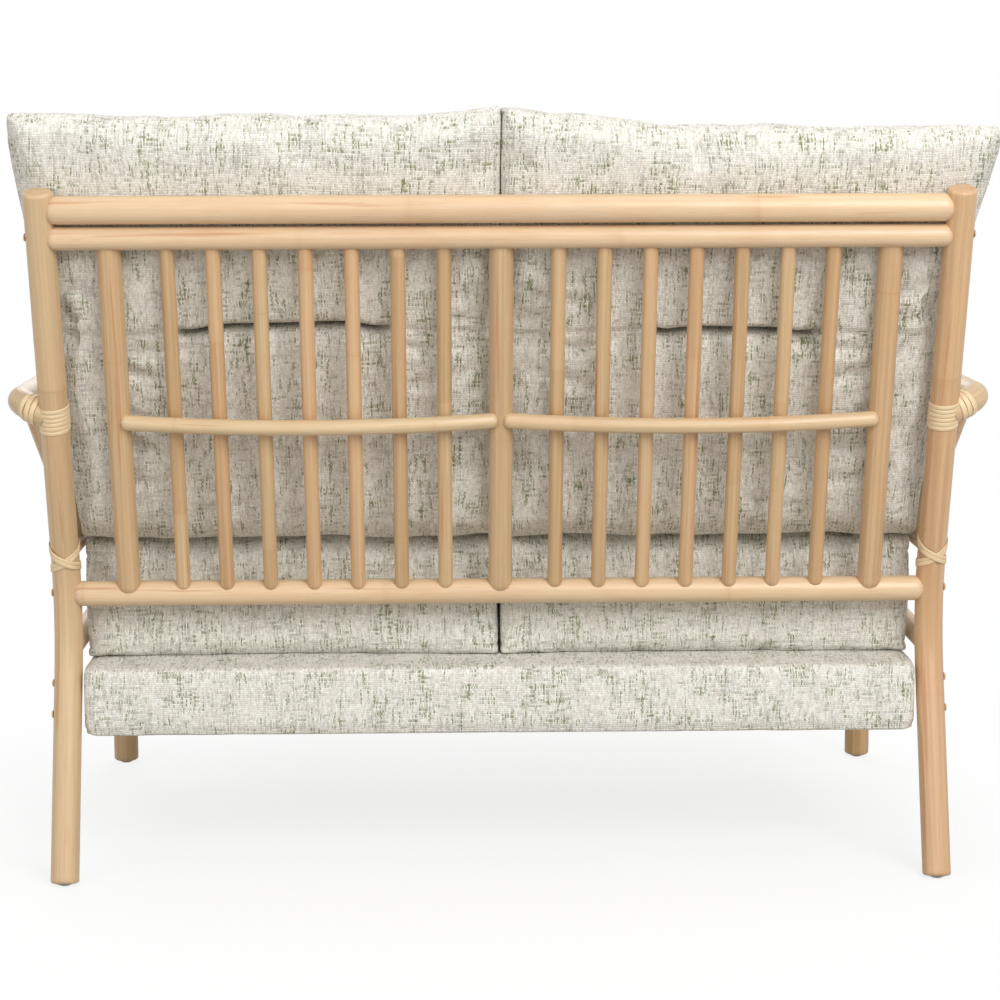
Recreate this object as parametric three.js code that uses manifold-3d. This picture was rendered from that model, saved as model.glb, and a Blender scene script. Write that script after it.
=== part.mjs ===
// A two-seat rattan garden sofa: bent and straight rattan poles lashed with cane strip, an upholstered
// seat deck, and four loose cushions. Millimetres, +Z up, the front faces -Y, and the sitter's left is +X.
// The origin is on the floor, under the middle of the sofa's whole box.
import * as THREE from "three";
import { mergeVertices } from "three/addons/utils/BufferGeometryUtils.js";
import Module from "manifold-3d";

const wasm = await Module();
wasm.setup();

// Clearances of every joint, and how finely round things are cut.
const jointGap = 0.3;
const cushionGap = 0.6;
const mergeTolerance = 1e-4;
const poleSides = 20;
const thinSides = 14;
const rimSteps = 2;
const degree = Math.PI / 180;

// Rear posts: one bent pole each, kicked back below the knee and leaning back above it.
const postSpacing = 1104;
const postRadius = 18;
const postTopRise = 55;
const postRimRound = 3;
const kneeHeight = 329;
const kneeSetForward = 103;
const kneeBendRadius = 250;
const backLean = 17.7 * degree;

// Rails, stiles and spindles of the back, with rail heights over the floor.
const lowerRailHeight = 359;
const lowerRailRadius = 16;
const secondRailHeight = 816;
const secondRailRadius = 14;
const topRailGap = 3.5;
const topRailRadius = 17;
const railProud = 1.2;
const railEndShort = 7.5;
const stileSpacing = 472;
const stileRadius = 15;
const stileFootSetBack = 2.3;
const stileFootShort = 2;
const stileHeadSetForward = 8.7;
const spindleCount = 7;
const spindlePitch = 55.5;
const spindleRadius = 9.25;
const spindleFootSetBack = 5;
const spindleHeadSetForward = 4;
const lumbarHeight = 590;
const lumbarRadius = 9.75;
const lumbarSetBack = 13;
const lumbarEndShort = 4;
const lumbarBow = 20;

// Arms: one bent pole each, from the post's outer side, round to the front and over the front leg.
const armRadius = 17;
const armHeight = 609;
const armEndDrop = 18;
const armSetOut = 46;
const armElbowRadius = 42;
const armBowForward = 400;
const armBowRadius = 600;
const armOverhang = 52;
const armRimRound = 8;

// Front legs, the side rails between the legs, and the bent brace under each arm.
const legRadius = 18;
const legSetForward = 648;
const legRimRound = 3;
const upperSideRailHeight = 413;
const lowerSideRailHeight = 283;
const sideRailRadius = 14;
const braceRadius = 12.5;
const braceFootForward = 160;
const braceElbowForward = 148;
const braceElbowHeight = 470;
const braceElbowSetOut = 6;
const braceHeadForward = 105;
const braceBendRadius = 160;

// Seat deck.
const deckBottom = 178;
const deckTop = 265;
const deckRearForward = 50;
const deckFrontForward = 660;
const deckCornerRadius = 16;
const deckEdgeRound = 6;

// Seat cushions.
const seatPairHalfWidth = 533;
const seatRearForward = 125;
const seatFrontForward = 682;
const seatHeight = 144;
const seatCrown = 12;
const seatEdgeRound = 18;
const seatDrawIn = 4;

// Back cushions, whose sides spread towards the top, with one sewn channel under the head roll.
const backPairHalfWidth = 536;
const backSpread = 64;
const backMiddleGap = 1.5;
const backHeight = 527;
const backThickness = 150;
const backEdgeRound = 27;
const backCrown = 20;
const backInnerRise = 14;
const backDrawIn = 3;
const channelRise = 274;
const channelDepth = 24;
const channelWidth = 34;

// Cane strip of the lashings.
const caneWidth = 5;
const caneThickness = 1.9;
const caneSpace = 0.7;
const loopSteps = 16;
const postWrapTurns = 6;
const armWrapTurns = 3;
const legWrapTurns = 4;
const crossLashWidth = 4.2;
const crossEndTuck = 57 * degree;

// Screw plugs in the posts, and the glides under the feet.
const plugRadius = 5;
const plugRimThickness = 0.8;
const plugDome = 1.6;
const plugSides = 16;
const deckScrewHeights = [244, 206];
const glideRadius = 11;
const glideFlatRadius = 6;
const glideThickness = 4;
const glideRim = 1.2;

// Places worked out from the sizes above.
const sideX = postSpacing / 2;
const postTopHeight = secondRailHeight + postTopRise;
const armEndHeight = armHeight - armEndDrop;
const armX = sideX + armSetOut;
const up = new THREE.Vector3(0, Math.sin(backLean), Math.cos(backLean));
const rearward = new THREE.Vector3(0, 1, 0);
const upward = new THREE.Vector3(0, 0, 1);
const bothSides = [
  { side: 1, label: "left" },
  { side: -1, label: "right" },
];

// The point of the back's middle plane at a height over the floor.
function backPoint(height) {
  const knee = new THREE.Vector3(0, -kneeSetForward, kneeHeight);
  return knee.addScaledVector(up, (height - kneeHeight) / up.z);
}

// Materials.
function material(color, roughness) {
  return new THREE.MeshStandardMaterial({ color, roughness, metalness: 0 });
}

const rattan = () => material(0xd9b27c, 0.45);
const cane = () => material(0xe6cf9e, 0.5);
const plugWood = () => material(0xcfa870, 0.5);
const weave = () => material(0xd8d8ca, 0.95);
const glidePlastic = () => material(0x3c3936, 0.6);

// Solids for cutting.
function solidOf(geometry) {
  const bare = geometry.clone();
  bare.deleteAttribute("normal");
  bare.deleteAttribute("uv");
  const merged = mergeVertices(bare, mergeTolerance);
  const vertProperties = new Float32Array(merged.attributes.position.array);
  const triVerts = new Uint32Array(merged.index.array);
  return new wasm.Manifold(new wasm.Mesh({ numProp: 3, vertProperties, triVerts }));
}

function geometryOf(solid) {
  const mesh = solid.getMesh();
  const geometry = new THREE.BufferGeometry();
  geometry.setAttribute("position", new THREE.BufferAttribute(mesh.vertProperties, 3));
  geometry.setIndex(new THREE.BufferAttribute(mesh.triVerts, 1));
  geometry.computeVertexNormals();
  return geometry;
}

// The largest body that is left of a geometry after the cutters are taken away.
function cut(geometry, ...cutters) {
  let solid = solidOf(geometry);
  for (const cutter of cutters) {
    solid = solid.subtract(solidOf(cutter));
  }
  const bodies = solid.decompose();
  bodies.sort((a, b) => b.volume() - a.volume());
  return geometryOf(bodies[0]);
}

// Stations that round a pole's rim, from its end face inwards.
function rimStations(end, inward, tangent, round) {
  const steps = round > 0 ? rimSteps : 0;
  return Array.from({ length: steps + 1 }, (_, i) => {
    const angle = steps > 0 ? (Math.PI / 2) * (1 - i / steps) : 0;
    const depth = steps > 0 ? round * (1 - Math.sin(angle)) : 0;
    return {
      point: end.clone().addScaledVector(inward, depth),
      tangent: tangent.clone(),
      inset: round * (1 - Math.cos(angle)),
    };
  });
}

// A pole's route: straight runs joined by round bends, each given as { at, radius, steps }.
class PoleRoute extends THREE.Curve {
  constructor(start, bends, end, { startRound = 0, endRound = 0 } = {}) {
    super();
    const corners = [start, ...bends.map((bend) => bend.at), end];
    const headings = corners.slice(1).map((corner, i) => corner.clone().sub(corners[i]).normalize());
    const last = headings[headings.length - 1];
    this.stations = rimStations(start, headings[0], headings[0], startRound);
    bends.forEach((bend, i) => this.addBend(bend, headings[i], headings[i + 1]));
    this.stations.push(...rimStations(end, last.clone().negate(), last, endRound).reverse());
    this.measure();
  }
  addBend({ at, radius, steps }, into, out) {
    const turn = into.angleTo(out);
    const axis = into.clone().cross(out).normalize();
    const inward = axis.clone().cross(into);
    const entry = at.clone().addScaledVector(into, -radius * Math.tan(turn / 2));
    const centre = entry.clone().addScaledVector(inward, radius);
    for (let step = 0; step <= steps; step += 1) {
      const angle = (turn * step) / steps;
      const spoke = inward.clone().multiplyScalar(-radius).applyAxisAngle(axis, angle);
      const tangent = into.clone().applyAxisAngle(axis, angle);
      this.stations.push({ point: centre.clone().add(spoke), tangent, inset: 0 });
    }
  }
  measure() {
    let length = 0;
    this.stations.forEach((station, i) => {
      length += i > 0 ? station.point.distanceTo(this.stations[i - 1].point) : 0;
      station.length = length;
    });
  }
  get steps() {
    return this.stations.length - 1;
  }
  getSpacedPoints() {
    return this.stations.map((station) => station.point);
  }
  getTangentAt(share) {
    return this.stations[Math.round(share * this.steps)].tangent.clone();
  }
  // The middle and heading of the pole between two stations, where a value of theirs is reached.
  between(value, target) {
    let i = 1;
    while (i < this.steps && value(this.stations[i]) < target) {
      i += 1;
    }
    const a = this.stations[i - 1];
    const b = this.stations[i];
    const share = (target - value(a)) / (value(b) - value(a));
    const point = a.point.clone().lerp(b.point, share);
    return { point, tangent: a.tangent.clone().lerp(b.tangent, share).normalize() };
  }
  atLength(length) {
    return this.between((station) => station.length, length);
  }
  atHeight(height) {
    return this.between((station) => station.point.z, height);
  }
}

// A pole that bows gently, with every station on one formula.
class BowedRoute extends PoleRoute {
  constructor(pointAt, steps) {
    const points = Array.from({ length: steps + 1 }, (_, i) => pointAt(i / steps));
    super(points[0], [], points[steps]);
    this.stations = points.map((point, i) => {
      const after = points[Math.min(i + 1, steps)];
      const before = points[Math.max(i - 1, 0)];
      return { point, tangent: after.clone().sub(before).normalize(), inset: 0 };
    });
    this.measure();
  }
}

// A round pole along a route, its rims drawn in where the route says.
function pole(route, radius, sides = poleSides) {
  const section = new THREE.Shape().absarc(0, 0, radius, 0, 2 * Math.PI);
  const geometry = new THREE.ExtrudeGeometry(section, {
    steps: route.steps,
    extrudePath: route,
    curveSegments: sides / 2,
  });
  const place = geometry.attributes.position;
  const vertex = new THREE.Vector3();
  const rims = route.stations.filter((station) => station.inset > 0);
  for (let i = 0; i < place.count; i += 1) {
    vertex.fromBufferAttribute(place, i);
    for (const { point, tangent, inset } of rims) {
      const spoke = vertex.clone().sub(point);
      const onStation = Math.abs(spoke.dot(tangent)) < radius * mergeTolerance;
      if (onStation && spoke.length() < 1.01 * radius) {
        vertex.addScaledVector(spoke, -inset / radius);
        place.setXYZ(i, vertex.x, vertex.y, vertex.z);
        break;
      }
    }
  }
  return geometry;
}

// A pole's shape grown by a gap all round, to cope what meets it.
function poleCutter(route, radius, gap, sides = poleSides) {
  return pole(route, (radius + gap) / Math.cos(Math.PI / sides), sides);
}

function straight(from, to) {
  return new PoleRoute(from, [], to);
}

// A body turned about the Z axis from outline points of radius and height.
function turned(outline, sides) {
  const points = outline.map(([radius, height]) => new THREE.Vector2(radius, height));
  return new THREE.LatheGeometry(points, sides).rotateX(Math.PI / 2);
}

const sofa = new THREE.Group();
const backFrame = new THREE.Group();
backFrame.position.copy(backPoint(lowerRailHeight));
backFrame.rotation.x = -backLean;
backFrame.updateMatrixWorld(true);
sofa.add(backFrame);
const intoBack = backFrame.matrixWorld.clone().invert();

function add(group, name, geometry, finish) {
  geometry.computeBoundingBox();
  const anchor = geometry.boundingBox.getCenter(new THREE.Vector3());
  geometry.translate(-anchor.x, -anchor.y, -anchor.z);
  const mesh = new THREE.Mesh(geometry, finish);
  mesh.name = name;
  mesh.position.copy(anchor);
  group.add(mesh);
}

// Rear posts, their feet cut flat just over the glides.
function postRoute(side) {
  const knee = backPoint(kneeHeight).setX(side * sideX);
  const top = backPoint(postTopHeight).setX(side * sideX);
  const legRun = knee.clone().sub(new THREE.Vector3(side * sideX, 0, 0));
  const below = knee.clone().addScaledVector(legRun, -1 - postRadius / kneeHeight);
  const bend = { at: knee, radius: kneeBendRadius, steps: 6 };
  return new PoleRoute(below, [bend], top, { endRound: postRimRound });
}

for (const { side, label } of bothSides) {
  const trimSize = 6 * postRadius;
  const trim = new THREE.BoxGeometry(trimSize, trimSize, trimSize);
  trim.translate(side * sideX, 0, glideThickness - trimSize / 2);
  const post = pole(postRoute(side), postRadius);
  add(sofa, "rear_post_" + label, cut(post, trim), rattan());
}

// Arms, coped to the lashing round the post.
function wrapReach(radius) {
  return (radius + jointGap) / Math.cos(Math.PI / loopSteps);
}

const postWrapOuter = wrapReach(postRadius) + caneThickness;

function armRoute(side) {
  const joint = postRoute(side).atHeight(armEndHeight).point;
  const elbow = new THREE.Vector3(side * armX, joint.y, armHeight);
  const bow = new THREE.Vector3(side * armX, -armBowForward, armHeight);
  const overLeg = new THREE.Vector3(side * sideX, -legSetForward, armHeight);
  const heading = overLeg.clone().sub(bow).normalize();
  const end = overLeg.clone().addScaledVector(heading, armOverhang);
  const bends = [
    { at: elbow, radius: armElbowRadius, steps: 8 },
    { at: bow, radius: armBowRadius, steps: 4 },
  ];
  return new PoleRoute(joint, bends, end, { endRound: armRimRound });
}

function armCutter(side) {
  return poleCutter(armRoute(side), armRadius, jointGap);
}

for (const { side, label } of bothSides) {
  const arm = pole(armRoute(side), armRadius);
  const joint = poleCutter(postRoute(side), postWrapOuter, jointGap);
  add(sofa, "arm_" + label, cut(arm, joint), rattan());
}

// Front legs, coped under the arms.
function legRoute(side) {
  const foot = new THREE.Vector3(side * sideX, -legSetForward, glideThickness);
  const head = new THREE.Vector3(side * sideX, -legSetForward, armHeight);
  return new PoleRoute(foot, [], head, { startRound: legRimRound });
}

for (const { side, label } of bothSides) {
  const leg = pole(legRoute(side), legRadius);
  add(sofa, "front_leg_" + label, cut(leg, armCutter(side)), rattan());
}

// The three long rails of the back, coped between the posts, their ends a little proud of them at
// the rear. In the back frame Y is set back from the middle plane and Z runs up the lean.
function railPlace(height, radius) {
  const place = postRoute(0).atHeight(height).point.applyMatrix4(intoBack).setX(0);
  place.y += postRadius + railProud - radius;
  return place;
}

function railRoute(place) {
  const reach = sideX - railEndShort;
  return straight(place.clone().setX(-reach), place.clone().setX(reach));
}

const lowerPlace = railPlace(lowerRailHeight, lowerRailRadius);
const secondPlace = railPlace(secondRailHeight, secondRailRadius);
const topPlace = secondPlace.clone();
topPlace.y += secondRailRadius - topRailRadius;
topPlace.z += secondRailRadius + topRailGap + topRailRadius;

function addRail(name, place, radius) {
  const posts = bothSides.map(({ side }) => poleCutter(postRoute(side), postRadius, jointGap));
  const cutters = posts.map((post) => post.applyMatrix4(intoBack));
  add(backFrame, name, cut(pole(railRoute(place), radius), ...cutters), rattan());
}

addRail("lower_back_rail", lowerPlace, lowerRailRadius);
addRail("second_back_rail", secondPlace, secondRailRadius);
addRail("top_back_rail", topPlace, topRailRadius);

// An upright between the lower and the second rail, coped to both.
function addUpright(name, route, radius, sides) {
  const lower = poleCutter(railRoute(lowerPlace), lowerRailRadius, jointGap);
  const second = poleCutter(railRoute(secondPlace), secondRailRadius, jointGap);
  add(backFrame, name, cut(pole(route, radius, sides), lower, second), rattan());
}

// Stiles, the thick uprights, their feet a little proud of the lower rail at the rear.
function stileRoute(x) {
  const foot = new THREE.Vector3(x, stileFootSetBack, stileFootShort).add(lowerPlace);
  const head = new THREE.Vector3(x, -stileHeadSetForward, 0).add(secondPlace);
  return straight(foot, head);
}

addUpright("stile_left", stileRoute(stileSpacing), stileRadius);
addUpright("stile_middle", stileRoute(0), stileRadius);
addUpright("stile_right", stileRoute(-stileSpacing), stileRadius);

// Lumbar rails: one behind each bay's spindles, bowed to the rear, its ends cut to the stiles.
const bayHalf = stileSpacing / 2;
const lumbarRise = (lumbarHeight - lowerRailHeight) / up.z;

function lumbarOffset(x) {
  const awayShare = (Math.abs(x) - bayHalf) / bayHalf;
  return lumbarSetBack + lumbarBow * (1 - awayShare * awayShare);
}

function lumbarRoute(side) {
  const run = stileSpacing - 2 * lumbarEndShort;
  const pointAt = (share) => {
    const x = side * (lumbarEndShort + share * run);
    return new THREE.Vector3(x, lumbarOffset(x), lumbarRise);
  };
  return new BowedRoute(pointAt, 12);
}

for (const { side, label } of bothSides) {
  const rail = pole(lumbarRoute(side), lumbarRadius, thinSides);
  const stiles = [0, side * stileSpacing].map((x) => poleCutter(stileRoute(x), stileRadius, jointGap));
  add(backFrame, "lumbar_rail_" + label, cut(rail, ...stiles), rattan());
}

// Spindles: seven to a bay, each bowed to the rear until it lies against its lumbar rail.
function spindleRoute(x) {
  const rise = secondPlace.z - lowerPlace.z;
  const lumbarShare = (lumbarRise - lowerPlace.z) / rise;
  const foot = lowerPlace.y + spindleFootSetBack;
  const middle = lumbarOffset(x) - lumbarRadius - spindleRadius - 1.5 * jointGap;
  const head = secondPlace.y - spindleHeadSetForward;
  const pointAt = (share) => {
    const footPull = (foot * (share - lumbarShare) * (share - 1)) / lumbarShare;
    const middlePull = (middle * share * (share - 1)) / (lumbarShare * (lumbarShare - 1));
    const headPull = (head * share * (share - lumbarShare)) / (1 - lumbarShare);
    const y = footPull + middlePull + headPull;
    return new THREE.Vector3(x, y, lowerPlace.z + share * rise);
  };
  return new BowedRoute(pointAt, 6);
}

for (const { side, label } of bothSides) {
  for (let i = 0; i < spindleCount; i += 1) {
    const fromMiddle = (i - (spindleCount - 1) / 2) * spindlePitch;
    const route = spindleRoute(side * (bayHalf + fromMiddle));
    addUpright("spindle_" + label + "_" + (i + 1), route, spindleRadius, thinSides);
  }
}

// Side rails from post to front leg, two to each side.
function sideRailRoute(side, height) {
  const rear = postRoute(side).atHeight(height).point;
  return straight(rear, rear.clone().setY(-legSetForward));
}

function addSideRail(name, side, height) {
  const post = poleCutter(postRoute(side), postRadius, jointGap);
  const leg = poleCutter(legRoute(side), legRadius, jointGap);
  const rail = pole(sideRailRoute(side, height), sideRailRadius);
  add(sofa, name, cut(rail, post, leg), rattan());
}

for (const { side, label } of bothSides) {
  addSideRail("upper_side_rail_" + label, side, upperSideRailHeight);
  addSideRail("lower_side_rail_" + label, side, lowerSideRailHeight);
}

// Arm braces: bent props from the upper side rail out to the arm.
for (const { side, label } of bothSides) {
  const foot = new THREE.Vector3(side * sideX, -braceFootForward, upperSideRailHeight);
  const elbowX = side * (sideX + braceElbowSetOut);
  const elbow = new THREE.Vector3(elbowX, -braceElbowForward, braceElbowHeight);
  const head = new THREE.Vector3(side * armX, -braceHeadForward, armHeight);
  const route = new PoleRoute(foot, [{ at: elbow, radius: braceBendRadius, steps: 4 }], head);
  const railRun = sideRailRoute(side, upperSideRailHeight);
  const rail = poleCutter(railRun, sideRailRadius, jointGap);
  add(sofa, "arm_brace_" + label, cut(pole(route, braceRadius), rail, armCutter(side)), rattan());
}

// Seat deck: a stuffed box between the posts and legs, covered in the cushion cloth.
const deckHalfWidth = sideX - postRadius - jointGap;

function deckOutline() {
  const radius = deckCornerRadius - deckEdgeRound;
  const right = deckHalfWidth - deckCornerRadius;
  const rear = -deckRearForward - deckCornerRadius;
  const front = deckCornerRadius - deckFrontForward;
  const shape = new THREE.Shape();
  shape.absarc(right, rear, radius, 0, Math.PI / 2);
  shape.absarc(-right, rear, radius, Math.PI / 2, Math.PI);
  shape.absarc(-right, front, radius, Math.PI, 1.5 * Math.PI);
  shape.absarc(right, front, radius, 1.5 * Math.PI, 2 * Math.PI);
  return shape;
}

const deck = new THREE.ExtrudeGeometry(deckOutline(), {
  depth: deckTop - deckBottom - 2 * deckEdgeRound,
  bevelThickness: deckEdgeRound,
  bevelSize: deckEdgeRound,
  bevelSegments: 3,
  curveSegments: 3,
});
deck.translate(0, 0, deckBottom + deckEdgeRound);
add(sofa, "seat_deck", deck, weave());

// A stuffed block: a box whose rows crowd to its edges, with round edges, then given its
// swell and seams by a function of each point.
function stuffedBlock(half, edgeRound, rows, shapePoint) {
  const box = new THREE.BoxGeometry(2, 2, 2, rows.x, rows.y, rows.z);
  box.deleteAttribute("normal");
  box.deleteAttribute("uv");
  const block = mergeVertices(box);
  const place = block.attributes.position;
  const spread = (share) => Math.sin((share * Math.PI) / 2);
  const inner = half.clone().subScalar(edgeRound);
  for (let i = 0; i < place.count; i += 1) {
    const point = new THREE.Vector3().fromBufferAttribute(place, i);
    point.set(spread(point.x), spread(point.y), spread(point.z)).multiply(half);
    const core = point.clone().clamp(inner.clone().negate(), inner);
    const reach = point.sub(core);
    if (reach.length() > 0) {
      reach.setLength(edgeRound);
    }
    core.add(reach);
    shapePoint(core);
    place.setXYZ(i, core.x, core.y, core.z);
  }
  block.computeVertexNormals();
  return block;
}

const bell = (share) => Math.max(0, 1 - share * share);
const flatBell = (share) => Math.max(0, 1 - share ** 4);

// Seat cushions: flat below and crowned above, their sides drawn in between the corners.
const seatHalf = new THREE.Vector3(
  (seatPairHalfWidth - cushionGap / 2) / 2,
  (seatFrontForward - seatRearForward) / 2,
  seatHeight / 2,
);

function seatCushion(side) {
  const block = stuffedBlock(seatHalf, seatEdgeRound, { x: 10, y: 10, z: 5 }, (point) => {
    const xShare = point.x / seatHalf.x;
    const yShare = point.y / seatHalf.y;
    const riseShare = (point.z / seatHalf.z + 1) / 2;
    point.x -= seatDrawIn * bell(yShare) * xShare ** 5;
    point.y -= seatDrawIn * bell(xShare) * yShare ** 5;
    point.z += seatCrown * riseShare * flatBell(xShare) * flatBell(yShare);
  });
  const x = side * (cushionGap / 2 + seatHalf.x);
  return block.translate(x, -seatRearForward - seatHalf.y, deckTop + jointGap + seatHalf.z);
}

for (const { side, label } of bothSides) {
  add(sofa, "seat_cushion_" + label, seatCushion(side), weave());
}

// Back cushions: they stand on the seat cushions and lean on the back.
const seatTop = deckTop + jointGap + seatHeight + seatCrown;
const backHalf = new THREE.Vector3(
  (backPairHalfWidth - backMiddleGap / 2) / 2,
  backThickness / up.z / 2,
  backHeight / 2,
);

function backCushion(side) {
  const block = stuffedBlock(backHalf, backEdgeRound, { x: 9, y: 4, z: 15 }, (point) => {
    const xShare = point.x / backHalf.x;
    const yShare = point.y / backHalf.y;
    const zShare = point.z / backHalf.z;
    const rise = point.z + backHalf.z;
    const pinch = channelDepth * Math.exp(-(((rise - channelRise) / channelWidth) ** 2));
    const swell = yShare < 0 ? backCrown * bell(xShare) * flatBell(zShare) : 0;
    const outShare = (1 + side * xShare) / 2;
    const spreadShare = (rise / backHeight) ** 1.25;
    point.x -= backDrawIn * bell(zShare) * xShare ** 5;
    point.x += side * outShare * spreadShare * backSpread;
    point.y -= swell + yShare * pinch;
    point.z += backInnerRise * (1 - outShare) ** 3 * Math.max(0, zShare) ** 3;
    point.y += (rise * up.y) / up.z;
  });
  const bottom = seatTop + cushionGap;
  const stileFront = secondPlace.y - stileHeadSetForward - stileRadius;
  const rear = backPoint(bottom).y + (stileFront - cushionGap) / up.z;
  const x = side * (backMiddleGap / 2 + backHalf.x);
  return block.translate(x, rear - backHalf.y, bottom + backHalf.z);
}

for (const { side, label } of bothSides) {
  add(sofa, "back_cushion_" + label, backCushion(side), weave());
}

// Cane strands: a flat-backed, round-faced strip through stations of { point, out, width },
// where out is the way off the pole.
const stripShares = [
  [-1, 0],
  [-0.8, 0.7],
  [0, 1],
  [0.8, 0.7],
  [1, 0],
];

function stripRings(stations) {
  return stations.map(({ point, out, width }, i) => {
    const after = stations[Math.min(i + 1, stations.length - 1)].point;
    const before = stations[Math.max(i - 1, 0)].point;
    const across = after.clone().sub(before).cross(out).normalize();
    return stripShares.map(([acrossShare, outShare]) => {
      const corner = point.clone().addScaledVector(across, (acrossShare * width) / 2);
      return corner.addScaledVector(out, outShare * caneThickness);
    });
  });
}

function stripGeometry(rings) {
  const sides = stripShares.length;
  const faces = [];
  for (let ring = 0; ring < rings.length - 1; ring += 1) {
    for (let k = 0; k < sides; k += 1) {
      const a = ring * sides + k;
      const b = ring * sides + ((k + 1) % sides);
      faces.push(a, b, a + sides, b, b + sides, a + sides);
    }
  }
  const lastRing = (rings.length - 1) * sides;
  for (let k = 1; k < sides - 1; k += 1) {
    faces.push(0, k + 1, k);
    faces.push(lastRing, lastRing + k, lastRing + k + 1);
  }
  const geometry = new THREE.BufferGeometry();
  geometry.setFromPoints(rings.flat());
  geometry.setIndex(faces);
  geometry.computeVertexNormals();
  return geometry;
}

// The least distance between points of a strand that lie over half a loop apart along it.
function leastGap(rings) {
  const fine = [];
  for (let i = 0; i < rings.length - 1; i += 1) {
    for (const share of [0, 1 / 3, 2 / 3]) {
      fine.push(rings[i].map((corner, k) => corner.clone().lerp(rings[i + 1][k], share)));
    }
  }
  let least = Infinity;
  for (let i = 0; i < fine.length; i += 1) {
    for (let j = i + 1.5 * loopSteps; j < fine.length; j += 1) {
      for (const a of fine[i]) {
        for (const b of fine[j]) {
          least = Math.min(least, a.distanceTo(b));
        }
      }
    }
  }
  return least;
}

function addStrand(name, stations) {
  const rings = stripRings(stations);
  console.log(name + ": least gap to itself " + leastGap(rings).toFixed(2) + " mm");
  add(sofa, name, stripGeometry(rings), cane());
}

// A plain wrap of side-by-side loops along a pole, narrowed where a bend crowds the loops.
function wrapStations(route, radius, from, turns, zeroWay) {
  const pitch = caneWidth + caneSpace;
  const reach = wrapReach(radius);
  const stationAt = (turn) => {
    const { point, tangent } = route.atLength(from + pitch * turn);
    const out = zeroWay.clone().projectOnPlane(tangent).normalize();
    out.applyAxisAngle(tangent, 2 * Math.PI * turn);
    return { point: point.addScaledVector(out, reach), out };
  };
  return Array.from({ length: turns * loopSteps + 1 }, (_, i) => {
    const here = stationAt(i / loopSteps);
    const nextLoop = stationAt(i / loopSteps + 1);
    const room = here.point.distanceTo(nextLoop.point) - caneSpace;
    return { ...here, width: Math.min(caneWidth, room) };
  });
}

// Wraps round each post at the arm, round the arm's end, and round the leg under the arm.
for (const { side, label } of bothSides) {
  const post = postRoute(side);
  const jointLength = post.stations[post.steps].length - (postTopHeight - armEndHeight) / up.z;
  const postFrom = jointLength - (postWrapTurns * (caneWidth + caneSpace)) / 2;
  const postWrap = wrapStations(post, postRadius, postFrom, postWrapTurns, rearward);
  addStrand("post_wrap_" + label, postWrap);
  const armFrom = postWrapOuter + jointGap + caneWidth;
  const armWrap = wrapStations(armRoute(side), armRadius, armFrom, armWrapTurns, upward);
  addStrand("arm_wrap_" + label, armWrap);
  const legTop = armHeight - armRadius - glideThickness - caneWidth;
  const legFrom = legTop - legWrapTurns * (caneWidth + caneSpace);
  const legWrap = wrapStations(legRoute(side), legRadius, legFrom, legWrapTurns, rearward);
  addStrand("leg_wrap_" + label, legWrap);
}

// Cross lashings, which tie the upper side rail to the post: the strand passes over the rail, behind
// the post, under the rail and behind the post again, twice, so that it crosses itself at the rear.

function crossStations(side) {
  const post = postRoute(side);
  const reach = wrapReach(postRadius);
  const drop = (reach * up.y) / up.z;
  const pitch = crossLashWidth + 2 * caneSpace;
  const railHalf = sideRailRadius / up.z + jointGap;
  const swing = railHalf + crossLashWidth / 2 + pitch / 2 + jointGap;
  const from = -Math.PI + crossEndTuck;
  const to = 7 * Math.PI - crossEndTuck;
  const steps = 4 * loopSteps - 6;
  return Array.from({ length: steps + 1 }, (_, i) => {
    const angle = from + ((to - from) * i) / steps;
    const rise = swing * Math.sin(angle / 2) + (pitch * (angle - 3 * Math.PI)) / (4 * Math.PI);
    const { point, tangent } = post.atHeight(upperSideRailHeight + (rise - drop) * up.z);
    const out = rearward.clone().projectOnPlane(tangent).normalize().applyAxisAngle(tangent, angle);
    const overShare = Math.min(1, 1.25 * Math.max(0, -Math.cos(angle / 2)));
    const lift = overShare * (caneThickness + 3 * jointGap);
    return { point: point.addScaledVector(out, reach + lift), out, width: crossLashWidth };
  });
}

for (const { side, label } of bothSides) {
  addStrand("cross_lash_" + label, crossStations(side));
}

// Screw plugs on the outer side of each post, over the second rail's, lower rail's and deck's screws.
function plugGeometry() {
  const crown = plugRimThickness + plugDome;
  const dome = [
    [0, 0],
    [plugRadius, 0],
    [plugRadius, plugRimThickness],
    [plugRadius * Math.cos(Math.PI / 4), plugRimThickness + plugDome * Math.sin(Math.PI / 4)],
    [0, crown],
  ];
  return turned(dome, plugSides);
}

for (const { side, label } of bothSides) {
  const heights = [secondRailHeight, lowerRailHeight, ...deckScrewHeights];
  heights.forEach((height, i) => {
    const { point } = postRoute(side).atHeight(height);
    const plug = plugGeometry().rotateY((side * Math.PI) / 2);
    plug.translate(point.x + side * (postRadius + jointGap), point.y, point.z);
    add(sofa, "screw_plug_" + label + "_" + (i + 1), plug, plugWood());
  });
}

// Glides under the four feet.
function addGlide(name, x, y) {
  const top = glideThickness - jointGap;
  const outline = [
    [0, 0],
    [glideFlatRadius, 0],
    [glideRadius, top - glideRim],
    [glideRadius, top],
    [0, top],
  ];
  add(sofa, name, turned(outline, poleSides).translate(x, y, 0), glidePlastic());
}

for (const { side, label } of bothSides) {
  const foot = postRoute(side).atHeight(glideThickness).point;
  addGlide("rear_glide_" + label, foot.x, foot.y);
  addGlide("front_glide_" + label, side * sideX, -legSetForward);
}

// The whole sofa, moved so that the origin is on the floor under the middle of its box.
const root = new THREE.Group();
root.add(sofa);
const box = new THREE.Box3().setFromObject(sofa);
const middle = box.getCenter(new THREE.Vector3());
sofa.position.set(-middle.x, -middle.y, -box.min.z);

export default root;
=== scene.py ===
import math

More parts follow.
